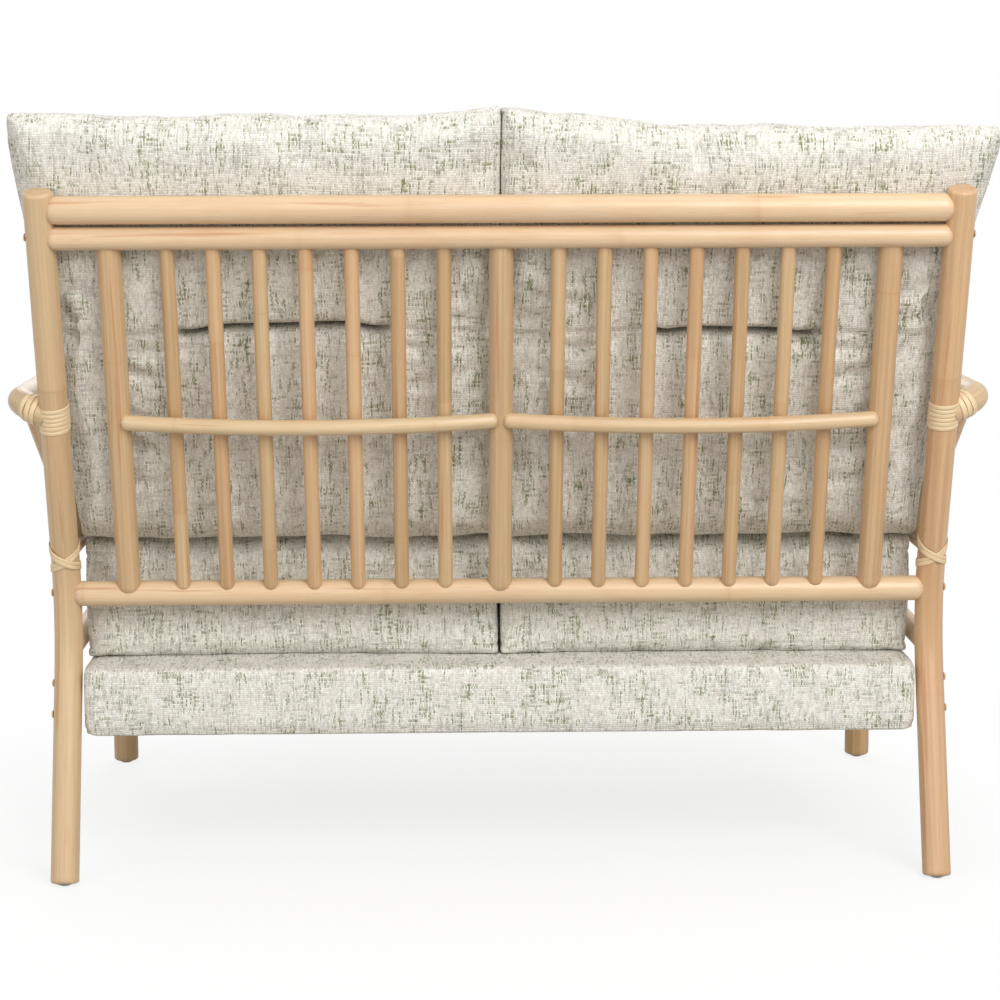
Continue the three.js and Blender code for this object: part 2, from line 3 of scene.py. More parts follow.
import bmesh
import bpy
import numpy as np
from mathutils import Matrix, Quaternion, Vector


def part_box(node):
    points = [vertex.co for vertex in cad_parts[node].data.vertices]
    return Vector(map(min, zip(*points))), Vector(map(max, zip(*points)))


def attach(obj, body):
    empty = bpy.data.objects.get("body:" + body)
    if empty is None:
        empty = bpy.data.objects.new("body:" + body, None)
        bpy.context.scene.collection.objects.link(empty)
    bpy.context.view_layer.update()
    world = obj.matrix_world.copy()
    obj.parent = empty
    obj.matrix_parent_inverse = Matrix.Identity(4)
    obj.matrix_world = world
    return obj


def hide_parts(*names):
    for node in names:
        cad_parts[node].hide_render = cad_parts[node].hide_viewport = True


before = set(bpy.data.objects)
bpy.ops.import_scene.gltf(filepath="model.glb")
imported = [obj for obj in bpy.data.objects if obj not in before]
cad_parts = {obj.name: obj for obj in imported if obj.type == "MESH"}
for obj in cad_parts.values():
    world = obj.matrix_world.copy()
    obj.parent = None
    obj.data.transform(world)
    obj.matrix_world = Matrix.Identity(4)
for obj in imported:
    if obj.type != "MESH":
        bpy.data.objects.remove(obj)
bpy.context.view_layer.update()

# Rear posts. Each is one peeled rattan pole about as thick as a broom handle, steamed and bent at
# the knee: the foot kicks back, the upper part leans back, and the rim of its cut end is eased.

MM = 0.001
BACK_LEAN = math.radians(17.7)
foot_low, foot_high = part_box("rear_glide_left")
SIDE_X = (foot_low.x + foot_high.x) / 2
GLIDE_FORWARD = 1.25 * MM
REAR_Y = (foot_low.y + foot_high.y) / 2 + GLIDE_FORWARD
KNEE = Vector((0, REAR_Y - 103 * MM, 329 * MM))
UP = Vector((0, math.sin(BACK_LEAN), math.cos(BACK_LEAN)))
POST_RADIUS = 18 * MM
POST_TOP = 871 * MM
POST_RIM = 4 * MM
KNEE_BEND = 250 * MM
GLIDE_HEIGHT = 4 * MM
FOOT_TRIM = 3 * MM
LINE_STEP = 2.5 * MM
RIM_STEPS = 4
RING_UNEVEN = 0.22
RING_REACH = 5 * MM
SIDES = ((1, "left"), (-1, "right"))


def back_point(height, x=0.0):
    """The point of the back's leaning middle plane at a height over the floor."""
    return (KNEE + UP * ((height - KNEE.z) / UP.z)) + Vector((x, 0, 0))


def bent_line(corners, bends=()):
    """Points along straight runs that round bends join, one radius for each inner corner."""
    points = [corners[0]]
    for i, radius in enumerate(bends, 1):
        into = (corners[i] - corners[i - 1]).normalized()
        out = (corners[i + 1] - corners[i]).normalized()
        turn = into.angle(out)
        axis = into.cross(out).normalized()
        inward = axis.cross(into)
        centre = corners[i] - into * radius * math.tan(turn / 2) + inward * radius
        steps = max(3, round(turn * radius / LINE_STEP))
        for k in range(steps + 1):
            points.append(centre - Quaternion(axis, turn * k / steps) @ (inward * radius))
    points.append(corners[-1])
    return points


def pole_rings(line, radius, start_rim=0.0, end_rim=0.0):
    """Rings along a line, closer at a rounded rim: each is a point and its share of the radius."""
    points = np.array(line)
    lengths = np.concatenate([[0], np.cumsum(np.linalg.norm(np.diff(points, axis=0), axis=1))])
    total = lengths[-1]
    middle = np.linspace(start_rim, total - end_rim, max(3, round(total / LINE_STEP)))
    eased = 1 - np.sin(np.linspace(math.pi / 2, 0, RIM_STEPS + 1)[:-1])
    first = start_rim * eased if start_rim else []
    last = total - end_rim * eased[::-1] if end_rim else []
    places = np.concatenate([first, middle, last])
    rings = np.stack([np.interp(places, lengths, points[:, k]) for k in range(3)], axis=1)
    share = np.ones(len(places))
    for rim, depth in ((start_rim, places), (end_rim, total - places)):
        if rim:
            left = np.clip(1 - depth / rim, 0, 1)
            share -= rim * (1 - np.sqrt(np.clip(1 - left**2, 0, 1))) / radius
    return rings, share


def paint(red, green, blue):
    """A colour as it is seen, 0 to 255, in the linear values that Blender takes."""
    seen = [value / 255 for value in (red, green, blue)]
    return (*[v / 12.92 if v <= 0.04045 else ((v + 0.055) / 1.055) ** 2.4 for v in seen], 1.0)


def put(tree, socket, value):
    """Links another node's output to a socket, or sets the socket to a plain value."""
    if isinstance(value, bpy.types.NodeSocket):
        tree.links.new(value, socket)
    else:
        socket.default_value = value


def node(tree, kind, inputs=None, out=0, **settings):
    """Adds a node, sets it and its sockets, and gives one of its outputs."""
    added = tree.nodes.new(kind)
    for name, value in settings.items():
        setattr(added, name, value)
    for socket, value in (inputs or {}).items():
        put(tree, added.inputs[socket], value)
    return added.outputs[out]


def sums(tree, operation, *values):
    """One step of arithmetic."""
    return node(tree, "ShaderNodeMath", dict(enumerate(values)), operation=operation)


def vectors(tree, operation, a, b):
    """One step of arithmetic on vectors."""
    return node(tree, "ShaderNodeVectorMath", {0: a, 1: b}, operation=operation)


def noise(tree, place, detail=1.0, scale=1.0, roughness=0.5, out=0):
    """Soft noise; a place that is stretched less one way draws it out that way."""
    inputs = {"Vector": place, "Scale": scale, "Detail": detail, "Roughness": roughness}
    return node(tree, "ShaderNodeTexNoise", inputs, out)


def parts(tree, vector):
    """The three numbers of a vector."""
    split = tree.nodes.new("ShaderNodeSeparateXYZ")
    put(tree, split.inputs["Vector"], vector)
    return split.outputs


def fade(tree, value, low, high, to_low=0.0, to_high=1.0):
    """A smooth step from one value to another."""
    numbered = {"Value": value, "From Min": low, "From Max": high, "To Min": to_low, "To Max": to_high}
    return node(tree, "ShaderNodeMapRange", numbered, interpolation_type="SMOOTHSTEP")


def blend(tree, factor, a, b, mode="MIX"):
    """One colour over another."""
    added = tree.nodes.new("ShaderNodeMix")
    added.data_type = "RGBA"
    added.blend_type = mode
    colours = [s for s in added.inputs if s.type == "RGBA"]
    put(tree, added.inputs["Factor"], factor)
    put(tree, colours[0], a)
    put(tree, colours[1], b)
    return next(s for s in added.outputs if s.type == "RGBA")


def attribute(tree, name, out="Fac"):
    return node(tree, "ShaderNodeAttribute", attribute_name=name, out=out)


def new_material(name, **settings):
    """A material, its node tree and its shader, with these plain numbers set on the shader."""
    material = bpy.data.materials.new(name)
    material.use_nodes = True
    tree = material.node_tree
    shader = tree.nodes["Principled BSDF"]
    for socket, value in settings.items():
        shader.inputs[socket.replace("_", " ")].default_value = value
    return material, tree, shader


def finish(tree, shader, colour, height=None, strength=0.0, depth=0.0):
    """Gives a shader its colour, and a relief if there is one."""
    put(tree, shader.inputs["Base Color"], colour)
    if height is not None:
        bump = node(tree, "ShaderNodeBump", {"Strength": strength, "Distance": depth, "Height": height})
        put(tree, shader.inputs["Normal"], bump)


def rattan_material():
    """Peeled, sanded and lacquered rattan: fine fibre lines along the pole, a thin brown scar at each
    growth ring, and a tone of its own between two rings."""
    material, tree, shader = new_material("rattan", Coat_Weight=0.18, Coat_Roughness=0.3)
    turn = attribute(tree, "turn", "Vector")
    names = ("along", "away", "tone", "rim", "pole", "paleness")
    along, away, tone, rim, pole, paleness = (attribute(tree, name) for name in names)
    shift = sums(tree, "MULTIPLY_ADD", pole, 3.7, along)

    def grain(round_scale, long_scale, detail):
        """Noise that is drawn out along the pole."""
        fine = vectors(tree, "MULTIPLY", turn, (round_scale,) * 3)
        lengthwise = node(tree, "ShaderNodeCombineXYZ", {"Z": sums(tree, "MULTIPLY", shift, long_scale)})
        return noise(tree, vectors(tree, "ADD", fine, lengthwise), detail, roughness=0.55)

    fibres, streaks = grain(1300, 30, 3), grain(260, 2.6, 3)
    clouds, stains = grain(34, 9, 2), grain(110, 3.5, 2)
    hue = {"W": sums(tree, "MULTIPLY_ADD", pole, 5.3, paleness)}
    rosy = node(tree, "ShaderNodeTexWhiteNoise", hue, noise_dimensions="1D")
    # Paleness, set for each group of poles, is partly the group's own tone and partly painted light: the
    # back rails, lit from above, are painted paler, and the stiles, spindles and front legs, which get
    # less light, are painted darker.
    base = blend(tree, paleness, paint(173, 135, 87), paint(229, 220, 191))
    for pattern, low, high, strength, colour in (
        (rosy, 0.45, 1.0, 0.55, (200, 148, 106)),
        (streaks, 0.35, 0.7, 0.3, (239, 210, 165)),
        (clouds, 0.4, 0.7, 0.3, (204, 160, 114)),
        (tone, 0.0, 1.0, 0.25, (237, 208, 166)),
        (stains, 0.62, 0.72, 0.5, (178, 116, 70)),
        (fibres, 0.53, 0.8, 0.42, (160, 118, 80)),
    ):
        base = blend(tree, fade(tree, pattern, low, high, 0, strength), base, paint(*colour))
    base = blend(tree, fade(tree, away, 0.0, 0.009, 0.12, 0), base, paint(190, 144, 98))
    broken = fade(tree, streaks, 0.42, 0.6, 0.1, 1)
    scar = sums(tree, "MULTIPLY", fade(tree, away, 0.0002, 0.0016, 0.2, 0), broken)
    base = blend(tree, scar, base, paint(150, 104, 66))
    pores = node(tree, "ShaderNodeTexVoronoi", {"Vector": turn, "Scale": 900.0})
    at_end = fade(tree, rim, 0.9, 0.92, 1, 0)
    pored = sums(tree, "MULTIPLY", fade(tree, pores, 0.15, 0.3, 0.6, 0), at_end)
    finish(tree, shader, blend(tree, pored, base, paint(160, 118, 78)), fibres, 0.25, 0.0004)
    put(tree, shader.inputs["Roughness"], fade(tree, fibres, 0.3, 0.8, 0.36, 0.5))
    return material


def new_tree(name, **inputs):
    """A Geometry Nodes tree that takes a mesh and the named inputs, and gives a mesh."""
    tree = bpy.data.node_groups.new(name, "GeometryNodeTree")
    tree.interface.new_socket("Geometry", in_out="INPUT", socket_type="NodeSocketGeometry")
    for title, kind in inputs.items():
        kind = "NodeSocket" + kind
        tree.interface.new_socket(title.replace("_", " "), in_out="INPUT", socket_type=kind)
    tree.interface.new_socket("Geometry", in_out="OUTPUT", socket_type="NodeSocketGeometry")
    return tree, tree.nodes.new("NodeGroupInput").outputs


def end_tree(tree, mesh, material):
    """Closes a tree: smooth faces, real geometry and the material."""
    smooth = node(tree, "GeometryNodeSetShadeSmooth", {"Geometry": mesh})
    real = node(tree, "GeometryNodeRealizeInstances", {"Geometry": smooth})
    finished = node(tree, "GeometryNodeSetMaterial", {"Geometry": real, "Material": material})
    tree.links.new(finished, tree.nodes.new("NodeGroupOutput").inputs["Geometry"])


def keep(tree, geometry, name, value, kind="FLOAT"):
    """Stores a named attribute on the points."""
    stored = {"Geometry": geometry, "Name": name, "Value": value}
    return node(tree, "GeometryNodeStoreNamedAttribute", stored, data_type=kind)


def kept(tree, name, kind="FLOAT"):
    """An attribute that the points of a line brought along."""
    return node(tree, "GeometryNodeInputNamedAttribute", {"Name": name}, data_type=kind)


def circle(tree, radius, sides):
    return node(tree, "GeometryNodeCurvePrimitiveCircle", {"Resolution": sides, "Radius": radius})


def swept(tree, curve, section, scale, material):
    """Ends a tree with a section swept along a curve; the section's points keep their places in it."""
    section = keep(tree, section, "turn", node(tree, "GeometryNodeInputPosition"), "FLOAT_VECTOR")
    inputs = {"Curve": curve, "Profile Curve": section, "Scale": scale, "Fill Caps": True}
    end_tree(tree, node(tree, "GeometryNodeCurveToMesh", inputs), material)
    return tree


def pole_tree():
    """Sweeps a round section along each line, with growth rings at uneven spaces along it."""
    tree, given = new_tree(
        "RattanPole", Radius="Float", Sides="Int", Ring_Spacing="Float", Ring_Rise="Float",
        Paleness="Float", Seed="Int", Material="Material",
    )
    curve = node(tree, "GeometryNodeMeshToCurve", {"Mesh": given["Geometry"]})
    length = node(tree, "GeometryNodeSplineParameter", out="Length")
    pole, rim = kept(tree, "pole"), kept(tree, "rim")
    seed = sums(tree, "MULTIPLY_ADD", pole, 17.0, given["Seed"])

    def chance(low, high, number, seed):
        """A value between two others, always the same one for a number and a seed."""
        return node(tree, "FunctionNodeRandomValue", {2: low, 3: high, "ID": number, "Seed": seed}, 1)

    start = chance(0.0, given["Ring Spacing"], sums(tree, "ROUND", pole), given["Seed"])
    offset = sums(tree, "SUBTRACT", length, start)
    count = sums(tree, "ROUND", sums(tree, "DIVIDE", offset, given["Ring Spacing"]))
    uneven = chance(-RING_UNEVEN, RING_UNEVEN, sums(tree, "MULTIPLY_ADD", seed, 31.0, count), 5)
    local = sums(tree, "MULTIPLY", sums(tree, "ADD", count, uneven), given["Ring Spacing"])
    local = sums(tree, "SUBTRACT", offset, local)
    away = sums(tree, "ABSOLUTE", local)
    passed = sums(tree, "SUBTRACT", count, sums(tree, "LESS_THAN", local, 0.0))
    tone = chance(0.0, 1.0, sums(tree, "MULTIPLY_ADD", seed, 13.0, passed), 9)
    ridge = sums(tree, "POWER", sums(tree, "DIVIDE", away, RING_REACH), 2.0)
    ridge = sums(tree, "EXPONENT", sums(tree, "MULTIPLY", ridge, -1.0))
    rise = sums(tree, "DIVIDE", given["Ring Rise"], given["Radius"])
    scale = sums(tree, "MULTIPLY", rim, sums(tree, "MULTIPLY_ADD", ridge, rise, 1.0))
    along_it = {"along": length, "away": away, "tone": tone, "paleness": given["Paleness"]}
    for name, value in along_it.items():
        curve = keep(tree, curve, name, value)
    return swept(tree, curve, circle(tree, given["Radius"], given["Sides"]), scale, given["Material"])


def placed(name, data):
    """A new object in the scene."""
    made = bpy.data.objects.new(name, data)
    bpy.context.collection.objects.link(made)
    return made


def grown_by(tree, name, source, **inputs):
    """Runs a Geometry Nodes tree on a mesh with these inputs and keeps the result as a plain mesh."""
    lines = placed(name + "_lines", source)
    modifier = lines.modifiers.new("grow", "NODES")
    modifier.node_group = tree
    for socket in tree.interface.items_tree:
        key = socket.name.replace(" ", "_")
        if socket.in_out == "INPUT" and key in inputs:
            modifier[socket.identifier] = inputs[key]
    graph = bpy.context.evaluated_depsgraph_get()
    mesh = bpy.data.meshes.new_from_object(lines.evaluated_get(graph))
    bpy.data.objects.remove(lines)
    mesh.name = name
    return placed(name, mesh)


RATTAN = rattan_material()
POLE_TREE = pole_tree()


def rattan_poles(
    name, lines, radius, pale, sides=28, spacing=340 * MM, rise=0.12 * MM, seed=1, rims=(0.0, 0.0)
):
    """Poles of one thickness as one piece: lines of edges with each pole's rim shares and number."""
    places, edges, shares, numbers = [], [], [], []
    for number, line in enumerate(lines):
        rings, share = pole_rings(line, radius, *rims)
        edges += [(len(places) + i, len(places) + i + 1) for i in range(len(rings) - 1)]
        places += [tuple(ring) for ring in rings]
        shares += list(share)
        numbers += [float(number)] * len(rings)
    source = bpy.data.meshes.new(name + "_lines")
    source.from_pydata(places, edges, [])
    for title, values in (("rim", shares), ("pole", numbers)):
        source.attributes.new(title, "FLOAT", "POINT").data.foreach_set("value", values)
    piece = grown_by(
        POLE_TREE, name, source, Radius=radius, Sides=sides, Ring_Spacing=spacing,
        Ring_Rise=rise, Paleness=pale, Seed=seed, Material=RATTAN,
    )
    piece.data.set_sharp_from_angle(angle=math.radians(50))
    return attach(piece, "frame")


def both(line):
    """A line on the left and the same on the right."""
    return [line(side) for side, _ in SIDES]


def post_line(side):
    foot = Vector((side * SIDE_X, REAR_Y, 0))
    knee = KNEE + Vector((side * SIDE_X, 0, 0))
    low = foot.lerp(knee, (GLIDE_HEIGHT - FOOT_TRIM) / KNEE.z)
    return bent_line([low, knee, back_point(POST_TOP, side * SIDE_X)], [KNEE_BEND])


def line_at_height(line, height):
    """The point where a rising line passes a height."""
    for a, b in zip(line, line[1:]):
        if a.z <= height <= b.z:
            return a.lerp(b, (height - a.z) / (b.z - a.z))
    return line[-1]


posts = rattan_poles(
    "rear_posts", both(post_line), POST_RADIUS, 0.2,
    sides=36, spacing=390 * MM, rise=0.15 * MM, seed=3, rims=(POST_RIM, POST_RIM),
)
# The foot is cut level: what reaches under the cut is drawn up along the pole.
for vertex in posts.data.vertices:
    under = max(0.0, GLIDE_HEIGHT - vertex.co.z)
    vertex.co.y += under * (KNEE.y - REAR_Y) / KNEE.z
    vertex.co.z += under
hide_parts("rear_post_left", "rear_post_right")

# Long rails of the back. Three straight poles coped between the posts and screwed from outside, their
# eased ends a little proud of the posts behind: the two upper ones lie close together, and the lowest
# carries the feet of the stiles and spindles.

LOWER_RAIL_HEIGHT = 359 * MM
LOWER_RAIL_RADIUS = 16 * MM
SECOND_RAIL_HEIGHT = 816 * MM
SECOND_RAIL_RADIUS = 14 * MM
TOP_RAIL_RADIUS = 17 * MM
TOP_RAIL_GAP = 3.5 * MM
RAIL_PROUD = 1.2 * MM
RAIL_END_SHORT = 7.5 * MM
RAIL_RIM_SHARE = 0.78
REARWARD = Vector((0, math.cos(BACK_LEAN), -math.sin(BACK_LEAN)))
BACK_ORIGIN = back_point(LOWER_RAIL_HEIGHT)


def in_back(x, set_back, rise):
    """A point given across the back, behind its middle plane and up its lean."""
    return BACK_ORIGIN + Vector((x, 0, 0)) + REARWARD * set_back + UP * rise


def rail_place(height, radius):
    """How far behind the back's plane and how far up it a rail lies."""
    off = line_at_height(post_line(0), height) - BACK_ORIGIN
    return off.dot(REARWARD) + POST_RADIUS + RAIL_PROUD - radius, off.dot(UP)


def rail_line(place):
    reach = SIDE_X - RAIL_END_SHORT
    return [in_back(-reach, *place), in_back(reach, *place)]


lower_place = rail_place(LOWER_RAIL_HEIGHT, LOWER_RAIL_RADIUS)
second_place = rail_place(SECOND_RAIL_HEIGHT, SECOND_RAIL_RADIUS)
top_place = (
    second_place[0] + SECOND_RAIL_RADIUS - TOP_RAIL_RADIUS,
    second_place[1] + SECOND_RAIL_RADIUS + TOP_RAIL_GAP + TOP_RAIL_RADIUS,
)
# Paleness 0.9 makes the back rails pale: partly their own tone, partly painted light, for the light from
# above on their tops.
for level, place, radius, seed in (
    ("lower", lower_place, LOWER_RAIL_RADIUS, 11),
    ("second", second_place, SECOND_RAIL_RADIUS, 12),
    ("top", top_place, TOP_RAIL_RADIUS, 13),
):
    rail = rattan_poles(
        f"{level}_back_rail_pole", [rail_line(place)], radius, 0.9,
        spacing=410 * MM, seed=seed, rims=(radius * RAIL_RIM_SHARE, radius * RAIL_RIM_SHARE),
    )
    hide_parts(f"{level}_back_rail")

# Stiles. Three thick straight uprights part the back into two bays. Each foot laps a little over the
# lower rail behind and each head goes in under the second rail, and screws through the rails hold them.

STILE_SPACING = 472 * MM
STILE_RADIUS = 15 * MM
STILE_FOOT_SET_BACK = 2.3 * MM
STILE_FOOT_SHORT = 2 * MM
STILE_HEAD_SET_FORWARD = 8.7 * MM
STILE_FOOT_RIM = 12 * MM
STILE_HEAD_RIM = 2.2 * MM


def stile_line(x):
    foot = in_back(x, lower_place[0] + STILE_FOOT_SET_BACK, lower_place[1] + STILE_FOOT_SHORT)
    return [foot, in_back(x, second_place[0] - STILE_HEAD_SET_FORWARD, second_place[1])]


stile_lines = [stile_line(x) for x in (STILE_SPACING, 0, -STILE_SPACING)]
# Paleness 0.18 makes the stiles darker than the rails: partly their own tone, partly painted shade, as
# less light falls on their faces.
stiles = rattan_poles(
    "stiles", stile_lines, STILE_RADIUS, 0.18,
    spacing=330 * MM, seed=21, rims=(STILE_FOOT_RIM, STILE_HEAD_RIM),
)
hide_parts("stile_left", "stile_middle", "stile_right")

# Lumbar rails. One thin pole to a bay crosses behind the spindles and is bowed to the rear, its eased
# ends lapping the stiles; the spindles are pinned to it, which gives the back its hollow.

LUMBAR_HEIGHT = 590 * MM
LUMBAR_RADIUS = 9.75 * MM
LUMBAR_SET_BACK = 13 * MM
LUMBAR_BOW = 20 * MM
LUMBAR_END_SHORT = 4 * MM
LUMBAR_RIM = 7 * MM
BAY_HALF = STILE_SPACING / 2
BOW_POINTS = 60
lumbar_rise = (LUMBAR_HEIGHT - LOWER_RAIL_HEIGHT) / UP.z


def lumbar_offset(x):
    share = (abs(x) - BAY_HALF) / BAY_HALF
    return LUMBAR_SET_BACK + LUMBAR_BOW * (1 - share * share)


def lumbar_line(side):
    places = np.linspace(LUMBAR_END_SHORT, STILE_SPACING - LUMBAR_END_SHORT, BOW_POINTS)
    return [in_back(side * x, lumbar_offset(x), lumbar_rise) for x in places]


lumbars = rattan_poles(
    "lumbar_rails", both(lumbar_line), LUMBAR_RADIUS, 0.4,
    sides=24, spacing=290 * MM, seed=31, rims=(LUMBAR_RIM, LUMBAR_RIM),
)
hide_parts("lumbar_rail_left", "lumbar_rail_right")

# Spindles. Seven thin poles to a bay, sprung to the rear until each lies against the lumbar rail; the
# feet lap the lower rail behind, and the heads go in under the second rail.

SPINDLE_COUNT = 7
SPINDLE_PITCH = 55.5 * MM
SPINDLE_RADIUS = 9.25 * MM
SPINDLE_FOOT_SET_BACK = 5 * MM
SPINDLE_HEAD_SET_FORWARD = 4 * MM
SPINDLE_FOOT_RIM = 7 * MM
SPINDLE_FOOT_IN = 8 * MM
SPINDLE_HEAD_IN = 10 * MM
SPINDLE_CLEAR = 0.2 * MM


def spindle_line(x):
    rise = second_place[1] - lower_place[1]
    lumbar_share = (lumbar_rise - lower_place[1]) / rise
    foot = lower_place[0] + SPINDLE_FOOT_SET_BACK
    middle = lumbar_offset(x) - LUMBAR_RADIUS - SPINDLE_RADIUS - SPINDLE_CLEAR
    head = second_place[0] - SPINDLE_HEAD_SET_FORWARD
    points = []
    for share in np.linspace(SPINDLE_FOOT_IN / rise, 1 - SPINDLE_HEAD_IN / rise, BOW_POINTS):
        set_back = foot * (share - lumbar_share) * (share - 1) / lumbar_share
        set_back += middle * share * (share - 1) / (lumbar_share * (lumbar_share - 1))
        set_back += head * share * (share - lumbar_share) / (1 - lumbar_share)
        points.append(in_back(x, set_back, lower_place[1] + share * rise))
    return points


spindle_outs = [BAY_HALF + (i - (SPINDLE_COUNT - 1) / 2) * SPINDLE_PITCH for i in range(SPINDLE_COUNT)]
spindle_lines = [spindle_line(side * out) for side, _ in SIDES for out in spindle_outs]
# Paleness 0.12 makes the spindles darker still: partly their own tone, partly painted shade, as less light
# falls on their faces.
spindles = rattan_poles(
    "spindles", spindle_lines, SPINDLE_RADIUS, 0.12,
    sides=24, spacing=360 * MM, seed=41, rims=(SPINDLE_FOOT_RIM, 0.0),
)
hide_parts(*[f"spindle_{label}_{i + 1}" for _, label in SIDES for i in range(SPINDLE_COUNT)])

# Arms. Each is one pole bent round from the post's outer side to the front, bowed out a little and
# brought in over the front leg, where its cut end stands out with a rounded rim.

ARM_RADIUS = 17 * MM
ARM_HEIGHT = 609 * MM
ARM_END_HEIGHT = 591 * MM
ARM_X = SIDE_X + 46 * MM
ARM_ELBOW = 42 * MM
ARM_BOW_FORWARD = 400 * MM
ARM_BOW = 600 * MM
ARM_OVERHANG = 52 * MM
ARM_RIM = 8 * MM
ARM_START_IN = 8 * MM
LEG_FORWARD = 648 * MM


def arm_line(side):
    joint = line_at_height(post_line(side), ARM_END_HEIGHT)
    elbow = Vector((side * ARM_X, joint.y, ARM_HEIGHT))
    bow = Vector((side * ARM_X, REAR_Y - ARM_BOW_FORWARD, ARM_HEIGHT))
    over_leg = Vector((side * SIDE_X, REAR_Y - LEG_FORWARD, ARM_HEIGHT))
    end = over_leg + (over_leg - bow).normalized() * ARM_OVERHANG
    start = joint + (elbow - joint).normalized() * (POST_RADIUS - ARM_START_IN)
    return bent_line([start, elbow, bow, end], [ARM_ELBOW, ARM_BOW])


arms = rattan_poles(
    "arms", both(arm_line), ARM_RADIUS, 0.3,
    sides=36, spacing=300 * MM, rise=0.15 * MM, seed=51, rims=(0.0, ARM_RIM),
)
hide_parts("arm_left", "arm_right")

# Front legs. Two upright poles, as thick as the rear posts, stand under the arms' front ends. The head
# of each is coped to the arm from below and bound with cane, and the foot is cut square.

LEG_RADIUS = 18 * MM
LEG_HEAD_SHORT = 2 * MM


def leg_line(side):
    foot = Vector((side * SIDE_X, REAR_Y - LEG_FORWARD, GLIDE_HEIGHT))
    return [foot, foot + Vector((0, 0, ARM_HEIGHT - GLIDE_HEIGHT - LEG_HEAD_SHORT))]


# Paleness 0.0, the darkest: partly the legs' own tone, partly painted shade for their place under the
# deck.
legs = rattan_poles(
    "front_legs", both(leg_line), LEG_RADIUS, 0.0,
    sides=36, spacing=330 * MM, rise=0.15 * MM, seed=61, rims=(POST_RIM, 0.0),
)
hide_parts("front_leg_left", "front_leg_right")

# Side rails and arm braces. Two rails to a side run from post to leg and carry the deck, and a short
# bent prop stands on the upper one and leans out to hold the arm.

SIDE_RAIL_RADIUS = 14 * MM
UPPER_SIDE_RAIL = 413 * MM
LOWER_SIDE_RAIL = 283 * MM
BRACE_RADIUS = 12.5 * MM
BRACE_BEND = 160 * MM
RAIL_END_IN = 1 * MM
RAIL_COPE = math.sqrt(POST_RADIUS**2 - SIDE_RAIL_RADIUS**2) - RAIL_END_IN
BRACE_HEAD_SHORT = 10 * MM
# Places on a brace: how far out from the posts' middle, how far forward of them, and how high.
BRACE_FOOT = (0, 160 * MM, UPPER_SIDE_RAIL + 5 * MM)
BRACE_ELBOW = (6 * MM, 148 * MM, 470 * MM)
BRACE_HEAD = (ARM_X - SIDE_X, 105 * MM, ARM_HEIGHT)


def side_rail_line(side, height):
    rear = line_at_height(post_line(side), height)
    front = Vector((rear.x, REAR_Y - LEG_FORWARD, rear.z))
    return [rear + Vector((0, -RAIL_COPE, 0)), front + Vector((0, RAIL_COPE, 0))]


def brace_line(side):
    foot, elbow, head = (
        Vector((side * (SIDE_X + out), REAR_Y - forward, height))
        for out, forward, height in (BRACE_FOOT, BRACE_ELBOW, BRACE_HEAD)
    )
    return bent_line([foot, elbow, head - (head - elbow).normalized() * BRACE_HEAD_SHORT], [BRACE_BEND])


rail_heights = {"upper": UPPER_SIDE_RAIL, "lower": LOWER_SIDE_RAIL}
side_rail_lines = [side_rail_line(side, height) for side, _ in SIDES for height in rail_heights.values()]
side_rails = rattan_poles("side_rails", side_rail_lines, SIDE_RAIL_RADIUS, 0.4, seed=71)
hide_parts(*[f"{level}_side_rail_{label}" for level in rail_heights for _, label in SIDES])
braces = rattan_poles("arm_braces", both(brace_line), BRACE_RADIUS, 0.3, sides=24, seed=81)
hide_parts("arm_brace_left", "arm_brace_right")

# Cane wraps. One flat-backed strand of split cane is wound side by side round each post at the arm,
# round the arm's rear end and round the leg's top, and its ends are tucked under the last turn.

CANE_SPACE = 0.7 * MM
WRAP_PITCH = 5 * MM + CANE_SPACE
CANE_WIDTH = 5.6 * MM
CANE_THICKNESS = 1.3 * MM
WRAP_WIDTH = 1.3 * CANE_WIDTH
WRAP_GAP = 0.1 * MM
LOOP_POINTS = 40


def cane_material():
    """Split cane: pale straw with a satin skin, and fine lines that run along the strand."""
    material, tree, shader = new_material("cane", Roughness=0.45, Coat_Weight=0.1, Coat_Roughness=0.35)
    turn = parts(tree, attribute(tree, "turn", "Vector"))
    across = sums(tree, "MULTIPLY", turn["Y"], 9.0)
    along = sums(tree, "MULTIPLY", attribute(tree, "along"), 30.0)
    lines = noise(tree, node(tree, "ShaderNodeCombineXYZ", {"X": across, "Y": along}), 3.0)
    base = blend(tree, fade(tree, lines, 0.35, 0.7), paint(214, 185, 142), paint(242, 221, 184))
    # Painted shade: the strand is darker towards its thin edges and flat back, where it meets the pole and
    # the next turns.
    base = blend(tree, fade(tree, turn["X"], 0.02, 0.14, 0.55, 0), base, paint(190, 154, 112))
    finish(tree, shader, base, lines, 0.3, 0.0003)
    return material


def cane_tree():
    """Sweeps a strip, flat behind and round in front, along a strand that knows which way is out."""
    tree, given = new_tree("CaneStrand", Thickness_Share="Float", Sides="Int", Material="Material")
    curve = node(tree, "GeometryNodeMeshToCurve", {"Mesh": given["Geometry"]})
    facing = {"Curve": curve, "Normal": kept(tree, "out", "FLOAT_VECTOR")}
    curve = node(tree, "GeometryNodeSetCurveNormal", facing, mode="FREE")
    curve = keep(tree, curve, "along", node(tree, "GeometryNodeSplineParameter", out="Length"))
    section = circle(tree, 0.5, given["Sides"])
    place = parts(tree, node(tree, "GeometryNodeInputPosition"))
    lift = sums(tree, "MULTIPLY", sums(tree, "MAXIMUM", place["Y"], 0.0), 2.0)
    lift = sums(tree, "MULTIPLY", sums(tree, "POWER", lift, 0.5), given["Thickness Share"])
    strip = node(tree, "ShaderNodeCombineXYZ", {"X": lift, "Y": place["X"]})
    section = node(tree, "GeometryNodeSetPosition", {"Geometry": section, "Position": strip})
    return swept(tree, curve, section, kept(tree, "width"), given["Material"])


CANE = cane_material()
CANE_TREE = cane_tree()


